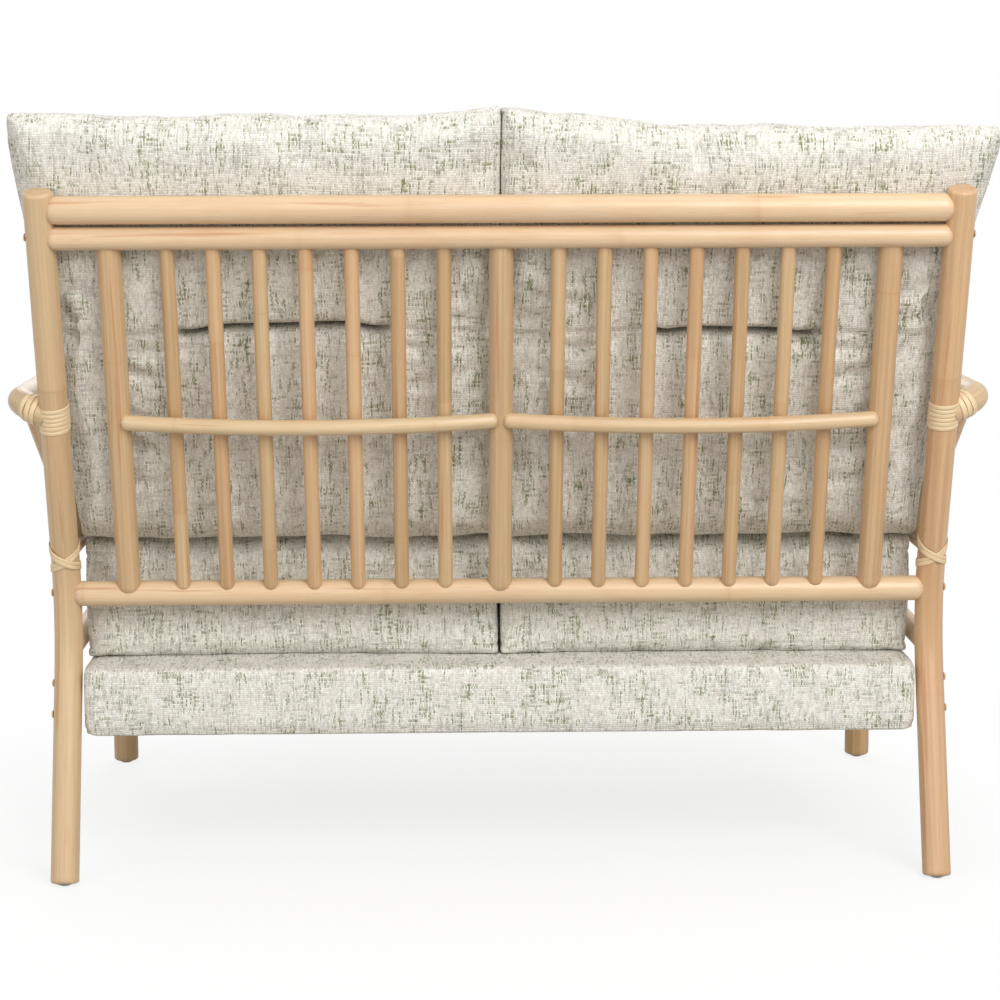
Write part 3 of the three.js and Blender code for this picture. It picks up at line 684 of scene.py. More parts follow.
def cane_strand(name, stations):
    """One strand through (point, way out, width) stations, riding on the frame."""
    points, outs, widths = zip(*stations)
    source = bpy.data.meshes.new(name + "_line")
    source.from_pydata([tuple(p) for p in points], [(i, i + 1) for i in range(len(points) - 1)], [])
    flat = [value for out in outs for value in out]
    source.attributes.new("out", "FLOAT_VECTOR", "POINT").data.foreach_set("vector", flat)
    source.attributes.new("width", "FLOAT", "POINT").data.foreach_set("value", list(widths))
    share = CANE_THICKNESS / CANE_WIDTH
    piece = grown_by(CANE_TREE, name, source, Thickness_Share=share, Sides=16, Material=CANE)
    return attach(piece, "frame")


def along_line(line, length):
    """The point and heading at a length along a line."""
    for a, b in zip(line, line[1:]):
        step = (b - a).length
        if length <= step or b is line[-1]:
            return a.lerp(b, length / step), (b - a).normalized()
        length -= step


def off_pole(way, heading, turn):
    """The way off a pole, turned round its heading from a given way."""
    square = (way - heading * way.dot(heading)).normalized()
    return Quaternion(heading, turn) @ square


def wrap_stations(line, radius, start, turns, zero_way):
    """A plain wrap along a pole, narrowed where a bend crowds its turns."""

    def station(turn):
        point, heading = along_line(line, start + WRAP_PITCH * turn)
        out = off_pole(zero_way, heading, 2 * math.pi * turn)
        return point + out * (radius + WRAP_GAP), out

    stations = []
    for i in range(turns * LOOP_POINTS + 1):
        point, out = station(i / LOOP_POINTS)
        room = (station(i / LOOP_POINTS + 1)[0] - point).length - WRAP_GAP
        stations.append((point, out, min(WRAP_WIDTH, room)))
    return stations


POST_WRAP_TURNS = 6
ARM_WRAP_TURNS = 3
LEG_WRAP_TURNS = 4
ARM_WRAP_CLEAR = 8.5 * MM
LEG_WRAP_CLEAR = 13 * MM
REAR = Vector((0, 1, 0))
UPWARD = Vector((0, 0, 1))

for side, label in SIDES:
    post = post_line(side)
    above = (POST_TOP - ARM_END_HEIGHT) / UP.z
    total = sum((b - a).length for a, b in zip(post, post[1:]))
    post_start = total - above - POST_WRAP_TURNS * WRAP_PITCH / 2
    arm_start = CANE_THICKNESS + CANE_WIDTH / 2 + ARM_WRAP_CLEAR
    leg_start = ARM_HEIGHT - ARM_RADIUS - LEG_WRAP_CLEAR - LEG_WRAP_TURNS * WRAP_PITCH
    for part, wrapped in (
        ("post", (post, POST_RADIUS, post_start, POST_WRAP_TURNS, -REAR)),
        ("arm", (arm_line(side), ARM_RADIUS, arm_start, ARM_WRAP_TURNS, UPWARD)),
        ("leg", (leg_line(side), LEG_RADIUS, leg_start, LEG_WRAP_TURNS, REAR)),
    ):
        wrap = cane_strand(f"{part}_wrap_strand_{label}", wrap_stations(*wrapped))
        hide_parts(f"{part}_wrap_{label}")

# Cross lashings. A strand ties each upper side rail to its post: it passes over the rail, behind the
# post, under the rail and behind the post again, twice, so that it crosses itself at the rear.

CROSS_PITCH = 5.6 * MM
CROSS_TUCK = math.radians(57)
CROSS_POINTS = 200
CROSS_WIDTH = 5.3 * MM
CROSS_CLEAR = 0.3 * MM
CROSS_LIFT_END = 1.2
CROSS_LIFT_RUN = 0.5


def softened(share):
    """A share from 0 to 1 that starts and ends gently."""
    return share * share * (3 - 2 * share)


def cross_stations(side):
    post = post_line(side)
    reach = (POST_RADIUS + CROSS_CLEAR) / math.cos(math.pi / 16)
    drop = reach * UP.y / UP.z
    swing = SIDE_RAIL_RADIUS / UP.z + CROSS_PITCH - CANE_SPACE + 2 * CROSS_CLEAR
    start, stop = CROSS_TUCK - math.pi, 7 * math.pi - CROSS_TUCK
    stations = []
    for turn in np.linspace(start, stop, CROSS_POINTS):
        rise = swing * math.sin(turn / 2) + CROSS_PITCH * (turn - 3 * math.pi) / (4 * math.pi)
        point = line_at_height(post, UPPER_SIDE_RAIL + (rise - drop) * UP.z)
        out = off_pole(REAR, UP, turn)
        crossing = abs((turn + math.pi) % (2 * math.pi) - math.pi)
        over = min(1.0, max(0.0, (CROSS_LIFT_END - crossing) / CROSS_LIFT_RUN))
        over = softened(over) if math.cos(turn / 2) < 0 else 0.0
        off = reach - CROSS_CLEAR + over * (CANE_THICKNESS + WRAP_GAP)
        stations.append((point + out * off, out, CROSS_WIDTH))
    return stations


for side, label in SIDES:
    lash = cane_strand("cross_lash_strand_" + label, cross_stations(side))
    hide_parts("cross_lash_" + label)

# Screw plugs. Small turned wooden buttons close the screw holes in the outer side of each post, over
# the second rail's, the lower rail's and the deck's screws.


def dress(kind, material):
    """Gives the CAD nodes of one kind a material, and leaves their meshes alone."""
    for name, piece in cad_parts.items():
        if kind in name:
            piece.data.materials.clear()
            piece.data.materials.append(material)


plug_wood, tree, shader = new_material("plug_wood", Roughness=0.45)
place = node(tree, "ShaderNodeTexCoord", out="Object")
grain = noise(tree, vectors(tree, "MULTIPLY", place, (300, 900, 1800)), 2.0)
lines = fade(tree, grain, 0.35, 0.65)
finish(tree, shader, blend(tree, lines, paint(200, 158, 110), paint(230, 192, 144)))
dress("screw_plug", plug_wood)

# Glides. A pale grey button of moulded plastic is nailed under each of the four feet, flat below and
# round at the rim, and keeps the pole's cut end off the ground.

glide_plastic, tree, shader = new_material("glide_plastic")
specks = noise(tree, node(tree, "ShaderNodeTexCoord", out="Object"), 4.0, 700.0)
pale = fade(tree, specks, 0.4, 0.7)
finish(tree, shader, blend(tree, pale, paint(176, 174, 169), paint(205, 203, 198)))
put(tree, shader.inputs["Roughness"], fade(tree, specks, 0.35, 0.7, 0.5, 0.75))
dress("glide", glide_plastic)

# Seat deck. A shallow wooden box sprung and stuffed, covered in the cushions' cloth, which is pulled
# tight round its edges and turned under in a stitched hem; it hangs between the posts and the legs.

WARP_PITCH = 1.7 * MM
WEFT_PITCH = 2.8 * MM


def cloth_material():
    """A plain weave of thick uneven cream yarn, with green and grey flecks spun into its threads, more
    in the upright ones than in the cross ones. It follows the cloth's own UV map, in metres."""
    look = {"Roughness": 0.9, "Sheen_Weight": 0.1, "Sheen_Roughness": 0.6}
    material, tree, shader = new_material("slub_weave", **look)
    chart = node(tree, "ShaderNodeUVMap", uv_map="cloth")

    def wavering(place, scale, reach):
        """Moves a place a little, so that no thread runs quite straight or even."""
        drift = noise(tree, chart, scale=scale, out="Color")
        drift = vectors(tree, "SUBTRACT", drift, (0.5, 0.5, 0.5))
        return vectors(tree, "ADD", place, vectors(tree, "MULTIPLY", drift, (reach,) * 3))

    moved = wavering(wavering(chart, 11.0, 0.012), 150.0, 0.0024)
    counted = parts(tree, vectors(tree, "MULTIPLY", moved, (1 / WARP_PITCH, 1 / WEFT_PITCH, 1)))
    across, upright = counted["X"], counted["Y"]

    def yarn(number, run, length, seed):
        """Noise that runs along each numbered thread."""
        number = sums(tree, "MULTIPLY_ADD", number, 7.31, seed)
        place = {"X": number, "Y": sums(tree, "DIVIDE", run, length)}
        return noise(tree, node(tree, "ShaderNodeCombineXYZ", place))

    def clusters(scale, seed, reach):
        """Slow patches in which one kind of fleck gathers, longer up than across."""
        place = vectors(tree, "MULTIPLY", chart, (1.0, 0.6, 1.0))
        patch = noise(tree, vectors(tree, "ADD", place, (seed, seed, 0)), scale=scale)
        return fade(tree, patch, 0.32, 0.68, -reach, reach)

    green_patch, grey_patch = clusters(26.0, 3.0, 0.05), clusters(31.0, 8.0, 0.05)

    def thread(number, run, seed, plenty, length):
        """A thread's colour: cream, with thick and thin stretches and spun-in flecks."""
        thick = fade(tree, yarn(number, run, 3.1, seed), 0.3, 0.7)
        colour = blend(tree, thick, paint(219, 214, 200), paint(252, 251, 245))
        grey = sums(tree, "ADD", yarn(number, run, length, seed + 31.0), grey_patch)
        grey = fade(tree, grey, 0.55 - plenty, 0.72 - plenty, 0, 0.56)
        colour = blend(tree, grey, colour, paint(158, 153, 147))
        green = sums(tree, "ADD", yarn(number, run, length * 0.8, seed + 67.0), green_patch)
        green = fade(tree, green, 0.61 - plenty, 0.72 - plenty, 0, 0.92)
        return blend(tree, green, colour, paint(112, 124, 64))

    warp_number = sums(tree, "FLOOR", across)
    weft_number = sums(tree, "FLOOR", upright)
    warp = thread(warp_number, upright, 3.0, 0.03, 12.0)
    weft = thread(weft_number, across, 11.0, 0.025, 16.0)

    def crown(value):
        """Height across a round thread, from 0 at its edge to 1 at its middle."""
        off = sums(tree, "SUBTRACT", sums(tree, "FRACT", value), 0.5)
        return sums(tree, "SUBTRACT", 1.0, sums(tree, "MULTIPLY", sums(tree, "MULTIPLY", off, off), 4.0))

    def dive(run, number):
        """A thread's way over and under the threads that cross it."""
        return sums(tree, "SINE", sums(tree, "MULTIPLY", sums(tree, "ADD", run, number), math.pi))

    warp_height = sums(tree, "ADD", crown(across), dive(upright, warp_number))
    weft_height = sums(tree, "SUBTRACT", crown(upright), dive(across, weft_number))
    lead = sums(tree, "SUBTRACT", warp_height, weft_height)
    on_top = fade(tree, lead, -0.6, 0.4, 0.3, 0.9)
    colour = blend(tree, on_top, weft, warp)
    height = sums(tree, "MAXIMUM", warp_height, weft_height)
    fuzz = noise(tree, vectors(tree, "MULTIPLY", chart, (1500, 700, 1)), 2.0)
    # Painted shade: the weave is darker where the threads lie low, in the gaps between threads and at
    # their crossings; the yarn's fine fuzz then varies it a little.
    shade = fade(tree, height, 0.1, 1.4, 0.76, 1.01)
    shade = sums(tree, "MULTIPLY", shade, fade(tree, fuzz, 0.3, 0.7, 0.92, 1.02))
    shade = node(tree, "ShaderNodeCombineColor", {0: shade, 1: shade, 2: shade})
    height = sums(tree, "MULTIPLY_ADD", fuzz, 0.7, height)
    finish(tree, shader, blend(tree, 1.0, colour, shade, "MULTIPLY"), height, 0.6, 0.0006)
    return material


CLOTH = cloth_material()
STUFFING_STEPS = 20
STUFFING_PRESSURE = 4.0
FOAM_GIVE = 0.08
SEAM_DEPTH = 1.6 * MM
SEAM_HALF = 2.4 * MM


def listed(group, name, width=3, kind=float):
    """The same value of every vertex, face or corner of a mesh, as an array."""
    values = np.zeros(len(group) * width, kind)
    group.foreach_get(name, values)
    return values.reshape(-1, width) if width > 1 else values


def points_of(mesh):
    return listed(mesh.vertices, "co")


def outward(mesh):
    return listed(mesh.vertex_normals, "vector")


def cloth_map(mesh):
    """Lays the weave on a piece, in metres, on each face from its own side, upright threads upright."""
    mesh.uv_layers.new(name="cloth")
    facing = np.argmax(np.abs(listed(mesh.polygons, "normal")) * (1.0, 1.0, 0.9), axis=1)
    facing = np.repeat(facing, listed(mesh.polygons, "loop_total", 1, int))
    spots = points_of(mesh)[listed(mesh.loops, "vertex_index", 1, int)]
    across = np.where(facing == 0, spots[:, 1], spots[:, 0])
    upright = np.where(facing == 2, spots[:, 1], spots[:, 2])
    chart = np.stack([across + 0.37 * facing, upright + 0.19 * facing], axis=1)
    mesh.uv_layers["cloth"].data.foreach_set("uv", chart.ravel())


def move_to(mesh, places):
    mesh.vertices.foreach_set("co", places.ravel())
    mesh.update()


def settle(piece):
    """Turns a piece's modifiers into its plain mesh."""
    graph = bpy.context.evaluated_depsgraph_get()
    mesh = bpy.data.meshes.new_from_object(piece.evaluated_get(graph))
    piece.modifiers.clear()
    piece.data = mesh


def sheared(places, lean, low):
    """Tips upright places back by a lean, from a height up; the lean's opposite stands them up again."""
    places = places.copy()
    places[:, 1] += lean * (places[:, 2] - low)
    return places


def plain_copy(name, source_node, voxel, lean=0.0, low=0.0):
    """A CAD solid's mesh as a new piece: merged, stood upright, and remeshed in even small faces."""
    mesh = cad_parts[source_node].data.copy()
    mesh.name = name
    mesh.materials.clear()
    mesh.materials.append(CLOTH)
    loose = bmesh.new()
    loose.from_mesh(mesh)
    bmesh.ops.remove_doubles(loose, verts=loose.verts, dist=1e-5)
    loose.to_mesh(mesh)
    loose.free()
    move_to(mesh, sheared(points_of(mesh), -lean, low))
    piece = placed(name, mesh)
    remesh = piece.modifiers.new("even", "REMESH")
    remesh.mode = "VOXEL"
    remesh.voxel_size = voxel
    remesh.use_smooth_shade = True
    settle(piece)
    return piece


def stuff(piece, cap, thickness):
    """Swells a piece as stuffed cloth. No point goes further than the cap, and only along the thickness
    does one come inwards, because the foam inside holds the cushion's length and height."""
    start = points_of(piece.data)
    way = outward(piece.data)
    cloth = piece.modifiers.new("stuffing", "CLOTH")
    cloth.settings.quality = 5
    cloth.settings.use_pressure = True
    cloth.settings.uniform_pressure_force = STUFFING_PRESSURE
    cloth.settings.tension_stiffness = 12
    cloth.settings.compression_stiffness = 12
    cloth.settings.bending_stiffness = 1.0
    cloth.settings.effector_weights.gravity = 0
    cloth.collision_settings.use_collision = False
    cloth.point_cache.frame_start = 1
    cloth.point_cache.frame_end = STUFFING_STEPS
    scene = bpy.context.scene
    for step in range(1, STUFFING_STEPS + 1):
        scene.frame_set(step)
    settle(piece)
    scene.frame_set(1)
    move = points_of(piece.data) - start
    for axis in {0, 1, 2} - {thickness}:
        inward = move[:, axis] * way[:, axis] < 0
        move[inward, axis] *= FOAM_GIVE
    reach = np.linalg.norm(move, axis=1, keepdims=True)
    move *= np.minimum(1, cap / np.maximum(reach, 1e-9))
    move_to(piece.data, start + move)


def refine(piece):
    """One subdivision, and smooth faces."""
    finer = piece.modifiers.new("finer", "SUBSURF")
    finer.levels = finer.render_levels = 1
    settle(piece)
    piece.data.shade_smooth()


def held(places, low, high):
    """Keeps points inside a box."""
    return np.clip(places, np.array(low), np.array(high))


def sewn(mesh, axis, spots):
    """Sinks a seam round the piece at each spot on an axis, where its faces look across the axis."""
    places, way = points_of(mesh), outward(mesh)
    side_on = np.clip((0.8 - np.abs(way[:, axis])) / 0.4, 0, 1)
    for spot in spots:
        off = places[:, axis] - spot
        places -= way * (SEAM_DEPTH * side_on * np.exp(-((off / SEAM_HALF) ** 2)))[:, None]
    move_to(mesh, places)


DECK_VOXEL = 9 * MM
DECK_PUFF = 3 * MM
DECK_PROUD = Vector((0, 2 * MM, 0))
HEM_RISE = 6 * MM

low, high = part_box("seat_deck")
deck = plain_copy("seat_deck_cover", "seat_deck", DECK_VOXEL)
stuff(deck, DECK_PUFF, thickness=2)
move_to(deck.data, held(points_of(deck.data), low, high + DECK_PROUD))
refine(deck)
sewn(deck.data, 2, [low.z + HEM_RISE])
cloth_map(deck.data)
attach(deck, "frame")
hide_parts("seat_deck")

# Seat cushions. Two loose foam cushions lie side by side on the deck in sewn covers of the same cloth,
# flat below and crowned above, with a boxed side band between two seams.

SEAT_VOXEL = 7 * MM
SEAT_THIN = 0.93
SEAT_PUFF = 22 * MM
SEAT_ROUND = 18 * MM
SEAT_SEAM = 12 * MM
SEAT_CROWN = 12 * MM
SEAT_LEVEL = 15 * MM
SEAT_PROUD = Vector((0, 3 * MM, 0))
SEAT_WIDER = 3 * MM
SEAT_WIDER_OUT = 450 * MM
SEAT_WIDER_RUNS = (150 * MM, 50 * MM)


def squared(across, rise, left, right, bottom, top, radius, share):
    """Fills out the round corners of a cushion's outline, seen from behind."""
    for side, edge in ((-1, left), (1, right)):
        for way, end in ((-1, bottom), (1, top)):
            a = (across - edge) * side + radius
            b = (rise - end) * way + radius
            corner = (a > 0) & (b > 0)
            grown = 1 + share * (np.hypot(a, b) / np.maximum(np.maximum(a, b), 1e-9) - 1)
            across = np.where(corner, across + side * a * (grown - 1), across)
            rise = np.where(corner, rise + way * b * (grown - 1), rise)
    return across, rise


def inner_part(places, low, high, first, second):
    """1 over the inner part of a cushion's face and 0 at its edges, along two axes."""
    share = 1.0
    for axis in (first, second):
        spot = (places[:, axis] - low[axis]) / (high[axis] - low[axis]) * 2 - 1
        share = share * (1 - np.clip(np.abs(spot), 0, 1) ** 5)
    return share


def waves(places, terms):
    """A sum of slow sine waves over points, each term a wave vector per metre, a phase and a height."""
    total = np.zeros(len(places))
    for vector, phase, height in terms:
        total += height * np.sin(places @ np.array(vector) + phase)
    return total


SEAT_RIPPLES = (
    ((31, 14, 9), 0.4, 0.9 * MM), ((-17, 46, 21), 1.9, 0.8 * MM), ((63, -38, 30), 3.1, 0.5 * MM),
    ((12, 71, -44), 0.9, 0.4 * MM), ((98, 27, 61), 2.2, 0.3 * MM),
)

for side, label in SIDES:
    low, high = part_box("seat_cushion_" + label)
    cushion = plain_copy("seat_cushion_cover_" + label, "seat_cushion_" + label, SEAT_VOXEL)
    places = points_of(cushion.data)
    places[:, 0], places[:, 2] = squared(
        places[:, 0], places[:, 2], low.x, high.x, low.z, high.z - SEAT_CROWN, SEAT_ROUND, 0.95
    )
    share = np.clip((places[:, 0] - low.x) / (high.x - low.x) * 2 - 1, -1, 1)
    places[:, 2] += SEAT_LEVEL * share**4 * (places[:, 2] - low.z) / (high.z - low.z)
    places[:, 2] -= (1 - SEAT_THIN) * (places[:, 2] - low.z) * inner_part(places, low, high, 0, 1)
    move_to(cushion.data, places)
    stuff(cushion, SEAT_PUFF, thickness=2)
    places = points_of(cushion.data)
    places += waves(places + side, SEAT_RIPPLES)[:, None] * outward(cushion.data)
    places[:, 0], places[:, 2] = squared(
        places[:, 0], places[:, 2], low.x, high.x, low.z, high.z - SEAT_CROWN / 2, SEAT_ROUND, 0.6
    )
    places = held(places, low - SEAT_PROUD, high + SEAT_PROUD)
    rear = np.clip((places[:, 1] - high.y) / SEAT_WIDER_RUNS[0] + 1, 0, 1)
    rear *= np.clip((side * places[:, 0] - SEAT_WIDER_OUT) / SEAT_WIDER_RUNS[1], 0, 1)
    places[:, 0] += side * SEAT_WIDER * rear
    move_to(cushion.data, places)
    refine(cushion)
    sewn(cushion.data, 2, [low.z + SEAT_SEAM, high.z - 2 * SEAT_SEAM])
    cloth_map(cushion.data)
    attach(cushion, f"seat_cushion_{label}_body")
    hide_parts("seat_cushion_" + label)

# Back cushions. Two loose cushions stand on the seat and lean on the back, each sewn across into a head
# roll above and a longer part below: behind, the roll hangs over the seam in a deep fold. Their sides
# spread to the top, where they meet in a peak.

BACK_VOXEL = 7 * MM
BACK_THIN = 0.93
BACK_PUFF = 24 * MM
BACK_ROUND = 27 * MM
BACK_TALL = 527 * MM
BACK_HALF_WIDTH = 536 * MM
BACK_SPREAD = 64 * MM
BACK_INNER_RISE = 14 * MM
BACK_INNER_CLEAR = 0.75 * MM
BACK_SEAM = 14 * MM
FOLD_RISE = 273 * MM
FOLD_LEAST = 5 * MM
FOLD_MOST = 30 * MM
FOLD_LIP = 10 * MM
FOLD_SLIT = 34 * MM
FOLD_HOLLOW_HALF = 24 * MM
FOLD_EDGE_HALF = 2.5 * MM
FOLD_SLIT_HALF = 6 * MM
FOLD_LIP_HALF = 11 * MM
FOLD_SLIT_DROP = 5 * MM
FOLD_LIP_RISE = 2 * MM
FOLD_WAVE = 3 * MM
FOLD_WAVE_LENGTH = 90 * MM
FOLD_END_RUN = 40 * MM
FOLD_ARCH_RUN = 120 * MM
BACK_RIPPLES = (
    ((24, 11, 17), 0.2, 1.2 * MM), ((-39, 20, 28), 1.1, 1.0 * MM), ((55, -31, -42), 2.7, 0.6 * MM),
    ((71, 40, 25), 0.5, 0.5 * MM), ((-88, 35, 76), 1.6, 0.4 * MM),
)
# Each crease runs from one place to another, out from the middle and up, with its depth and half width.
CREASES = (
    (505, 250, 410, 205, 4.5, 9), (512, 205, 425, 150, 4, 8), (500, 150, 405, 110, 4.5, 9),
    (490, 95, 415, 75, 3, 8), (25, 235, 120, 200, 3.5, 9), (20, 150, 95, 120, 3, 8),
    (350, 262, 455, 246, 4, 7), (140, 262, 60, 250, 4, 7), (540, 345, 465, 310, 3, 9),
    (30, 330, 95, 305, 3, 8), (300, 60, 390, 40, 2.5, 9), (180, 150, 250, 170, 2, 10),
)
# The deep part of each fold: where it starts and stops, out from the middle, and how far it arches up.
FOLD_SPANS = {"left": (143, 390, 23), "right": (190, 386, 11)}
# How far the top stands above the cut's even line, from the joint of the two cushions outwards.
TOP_LINES = {
    "left": (
        (0, 12), (12, 8), (75, 3), (125, 4), (220, 7), (320, 9), (416, 11), (514, 12), (551, 15), (600, 18)
    ),
    "right": (
        (0, 12), (12, 9), (37, 7), (73, 2), (122, 0), (190, -5), (318, -5), (465, -5), (551, -1), (600, -4)
    ),
}
TOP_WIDER = {"left": -0.009, "right": 0.011}
FOOT_WIDER = 4.5 * MM
FOOT_WIDER_OUT = 400 * MM
FOOT_WIDER_RUNS = (100 * MM, 120 * MM)
PRESSED = 5 * MM
PRESSED_RUN = 15 * MM
JOINT_CLEAR = 0.3 * MM
FRONT_PROUD = 4 * MM
TOP_PROUD = 6 * MM
CREASE_BEND = 5 * MM


def creased(out, rise, lines):
    """How deep the creases lie at each place, with a soft roll on both sides of each."""
    total = np.zeros(len(out))
    for x0, z0, x1, z1, depth, width in lines:
        along = np.array([x1 - x0, z1 - z0]) * MM
        length = np.hypot(*along)
        along /= length
        dx, dz = out - x0 * MM, rise - z0 * MM
        run = np.clip((dx * along[0] + dz * along[1]) / length, 0, 1)
        bend = CREASE_BEND * np.sin(run * 4)
        off = np.hypot(dx - run * length * along[0], dz - run * length * along[1] + bend) / (width * MM)
        taper = np.sin(np.pi * (0.1 + 0.8 * run))
        total += 1.5 * depth * MM * taper * (np.exp(-(off**2)) - 0.35 * np.exp(-((off - 1.9) ** 2)))
    return total


for side, label in SIDES:
    low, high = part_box("back_cushion_" + label)
    lean = math.tan(BACK_LEAN)
    cushion = plain_copy("back_cushion_cover_" + label, "back_cushion_" + label, BACK_VOXEL, lean, low.z)
    places = points_of(cushion.data)
    front_plane, rear_plane = places[:, 1].min(), places[:, 1].max()
    middle_plane = (front_plane + rear_plane) / 2
    out, rise = side * places[:, 0], places[:, 2] - low.z
    side_edge = BACK_HALF_WIDTH + BACK_SPREAD * np.clip(rise / BACK_TALL, 0, 1) ** 1.25
    top_edge = BACK_TALL + BACK_INNER_RISE * np.clip(1 - out / side_edge, 0, 1) ** 3
    out, rise = squared(out, rise, BACK_INNER_CLEAR, side_edge, 0.0, top_edge, BACK_ROUND, 0.85)
    places[:, 0], places[:, 2] = side * out, low.z + rise
    thinned = (1 - BACK_THIN) * inner_part(places, low, high, 0, 2)
    places[:, 1] -= (places[:, 1] - middle_plane) * thinned
    move_to(cushion.data, places)
    stuff(cushion, BACK_PUFF, thickness=1)
    places = points_of(cushion.data)
    places += waves(places + side, BACK_RIPPLES)[:, None] * outward(cushion.data)
    out, rise = side * places[:, 0], places[:, 2] - low.z
    wider = np.clip((out - FOOT_WIDER_OUT) / FOOT_WIDER_RUNS[0], 0, 1)
    out += FOOT_WIDER * wider * np.clip(2 - rise / FOOT_WIDER_RUNS[1], 0, 1)
    out -= PRESSED * np.clip(2 - out / PRESSED_RUN, 0, 1)
    places[:, 0] = side * np.clip(out, JOINT_CLEAR, None)
    places[:, 1] = np.clip(places[:, 1], front_plane - FRONT_PROUD, rear_plane)
    places[:, 2] = np.clip(places[:, 2], low.z, high.z + TOP_PROUD)
    move_to(cushion.data, places)
    refine(cushion)
    sewn(cushion.data, 1, [front_plane + BACK_SEAM, rear_plane - BACK_SEAM])
    places = points_of(cushion.data)
    out, rise = side * places[:, 0], places[:, 2] - low.z
    behind = np.clip((places[:, 1] - middle_plane) / (rear_plane - front_plane) * 4, 0, 1)
    before = np.clip((middle_plane - places[:, 1]) / (rear_plane - front_plane) * 4, 0, 1)
    places[:, 1] -= behind * creased(out, rise, CREASES)
    places[:, 1] += before * creased(BACK_HALF_WIDTH - out, rise, CREASES)
    start, stop, arch = (mark * MM for mark in FOLD_SPANS[label])
    inside = np.minimum(out - start, stop - out)
    deep, arched = (
        softened(np.clip(inside / run + 0.5, 0, 1)) for run in (FOLD_END_RUN, FOLD_ARCH_RUN)
    )
    off = rise - FOLD_RISE - arch * arched - FOLD_WAVE * np.sin(out / FOLD_WAVE_LENGTH + side)
    below = off < 0
    reach = np.where(below, FOLD_HOLLOW_HALF, FOLD_EDGE_HALF)
    recess = (FOLD_LEAST + (FOLD_MOST - FOLD_LEAST) * deep) * np.exp(-((off / reach) ** 2))
    slit = np.exp(-(((off + FOLD_SLIT_DROP) / FOLD_SLIT_HALF) ** 2))
    recess += FOLD_SLIT * deep * np.where(below, slit, 0)
    places[:, 1] -= behind * recess
    lip = np.where(below, 0, np.exp(-(((off - FOLD_LIP_RISE) / FOLD_LIP_HALF) ** 2)))
    places[:, 2] -= behind * deep * FOLD_LIP * lip
    upper = np.clip((rise / BACK_TALL - 0.55) / 0.45, 0, 1)
    stops, heights = np.array(TOP_LINES[label]).T * MM
    places[:, 2] += np.interp(out, stops, heights) * upper * upper
    places[:, 0] *= 1 + TOP_WIDER[label] * upper
    move_to(cushion.data, places)
    cloth_map(cushion.data)
    move_to(cushion.data, sheared(points_of(cushion.data), lean, low.z))
    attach(cushion, f"back_cushion_{label}_body")
    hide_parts("back_cushion_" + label)

# Studio. The sofa stands on a plain pale floor that turns white away from it, under a soft sky and
# large soft lamps. The camera stands behind it, a little to its left, and looks a little down.

FLOOR_REACH = 30.0
CAMERA_PLACE = Vector((0.07, REAR_Y + 3.19, 0.942))
CAMERA_LENS = 93.6
CAMERA_PITCH = math.radians(8.11)
CAMERA_YAW = math.radians(-1.23)
CAMERA_ROLL = math.radians(-0.18)


def bare_tree(owner):
    """The emptied node tree of a material or a world."""
    owner.use_nodes = True
    owner.node_tree.nodes.clear()
    return owner.node_tree


def white_or(tree, glow, shaded, mask=1.0):
    """White for the eye, for gloss and through glass where a mask says so, and a shader elsewhere."""
    path = tree.nodes.new("ShaderNodeLightPath").outputs
    seen = sums(tree, "MAXIMUM", path["Is Camera Ray"], path["Is Glossy Ray"])
    seen = sums(tree, "MAXIMUM", seen, path["Is Transmission Ray"])
    white = node(tree, glow, {"Color": (1, 1, 1, 1), "Strength": 1.0})
    return node(tree, "ShaderNodeMixShader", {0: sums(tree, "MULTIPLY", seen, mask), 1: shaded, 2: white})


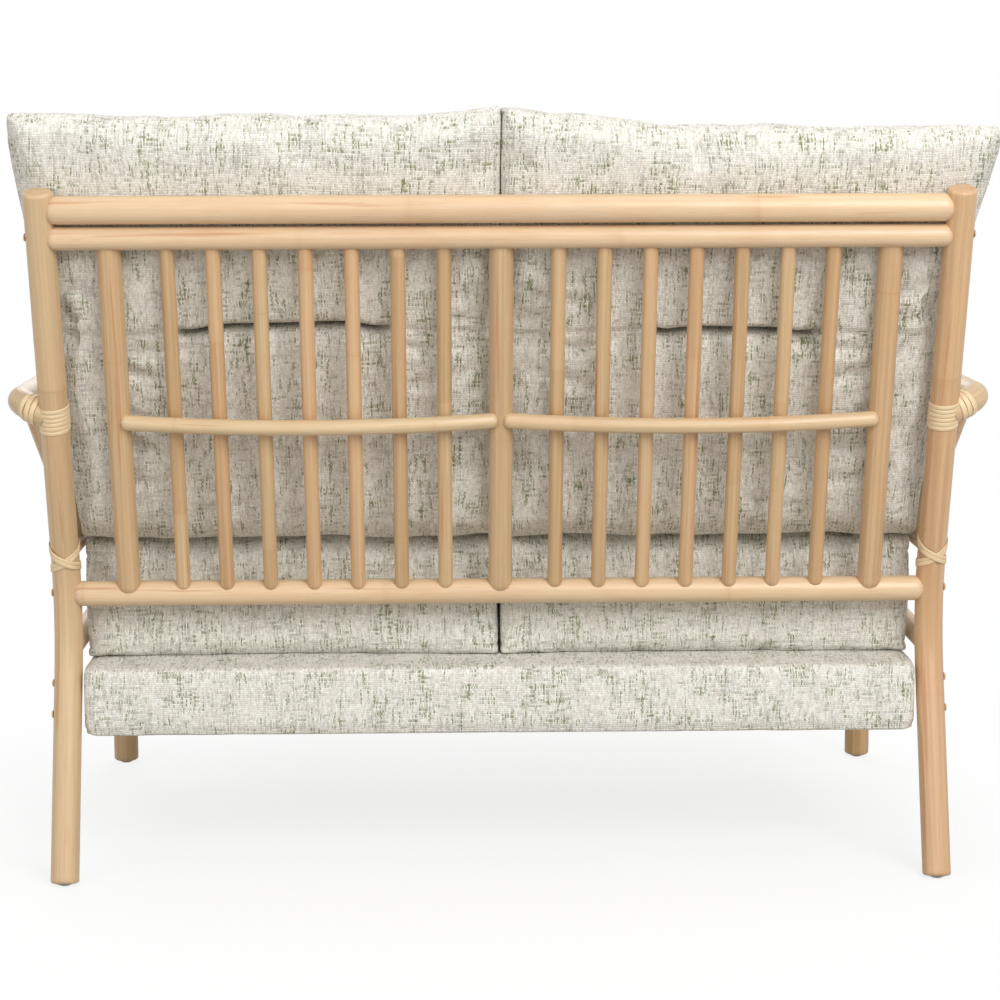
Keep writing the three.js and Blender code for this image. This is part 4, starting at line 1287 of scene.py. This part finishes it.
floor_paint = bpy.data.materials.new("studio_floor")
tree = bare_tree(floor_paint)
place = node(tree, "ShaderNodeTexCoord", out="Object")
distance = node(tree, "ShaderNodeVectorMath", {0: place}, operation="LENGTH", out="Value")
path = tree.nodes.new("ShaderNodeLightPath").outputs
tint = blend(tree, path["Is Camera Ray"], (0.47, 0.45, 0.42, 1), (0.92, 0.92, 0.92, 1))
plain = node(tree, "ShaderNodeBsdfDiffuse", {"Color": tint})
shown = white_or(tree, "ShaderNodeEmission", plain, fade(tree, distance, 0.4, 1.2, 0.78, 1))
tree.links.new(shown, tree.nodes.new("ShaderNodeOutputMaterial").inputs["Surface"])
floor_mesh = bpy.data.meshes.new("studio_floor")
floor_corners = [(x * FLOOR_REACH, y * FLOOR_REACH, 0) for x, y in ((-1, -1), (1, -1), (1, 1), (-1, 1))]
floor_mesh.from_pydata(floor_corners, [], [(0, 1, 2, 3)])
floor_mesh.materials.append(floor_paint)
placed("studio_floor", floor_mesh)

world = bpy.data.worlds.new("studio")
bpy.context.scene.world = world
tree = bare_tree(world)
sky = node(tree, "ShaderNodeBackground", {"Color": (1, 0.99, 0.97, 1), "Strength": 0.5})
shown = white_or(tree, "ShaderNodeBackground", sky)
tree.links.new(shown, tree.nodes.new("ShaderNodeOutputWorld").inputs["Surface"])


def lamp(name, place, target, size, power):
    """A square soft lamp at a place, turned to a target."""
    data = bpy.data.lights.new(name, "AREA")
    data.shape = "SQUARE"
    data.size = size
    data.energy = power
    made = placed(name, data)
    made.location = place
    made.rotation_euler = (Vector(target) - Vector(place)).to_track_quat("-Z", "Y").to_euler()


lamp("key_softbox", (-1.5, 3.4, 2.7), (0, 0.1, 0.4), 2.2, 118)
lamp("fill_softbox", (2.4, 3.2, 1.6), (0, 0.1, 0.5), 2.0, 32)
lamp("top_softbox", (-0.2, 0.5, 4.2), (0, 0, 0.4), 2.4, 20)
lamp("front_softbox", (0.5, -3.2, 2.6), (0, -0.1, 0.4), 2.4, 52)

flat = math.cos(CAMERA_PITCH)
ahead = Vector((math.sin(CAMERA_YAW) * flat, -math.cos(CAMERA_YAW) * flat, -math.sin(CAMERA_PITCH)))
level = ahead.cross(UPWARD).normalized()
rightward = level * math.cos(CAMERA_ROLL) + level.cross(ahead) * math.sin(CAMERA_ROLL)
turned = Matrix((rightward, rightward.cross(ahead), -ahead)).transposed()
camera_data = bpy.data.cameras.new("camera")
camera_data.sensor_width = 36
camera_data.lens = CAMERA_LENS
camera = placed("camera", camera_data)
camera.matrix_world = Matrix.Translation(CAMERA_PLACE) @ turned.to_4x4()
bpy.context.scene.camera = camera
bpy.context.scene.view_settings.view_transform = "Standard"
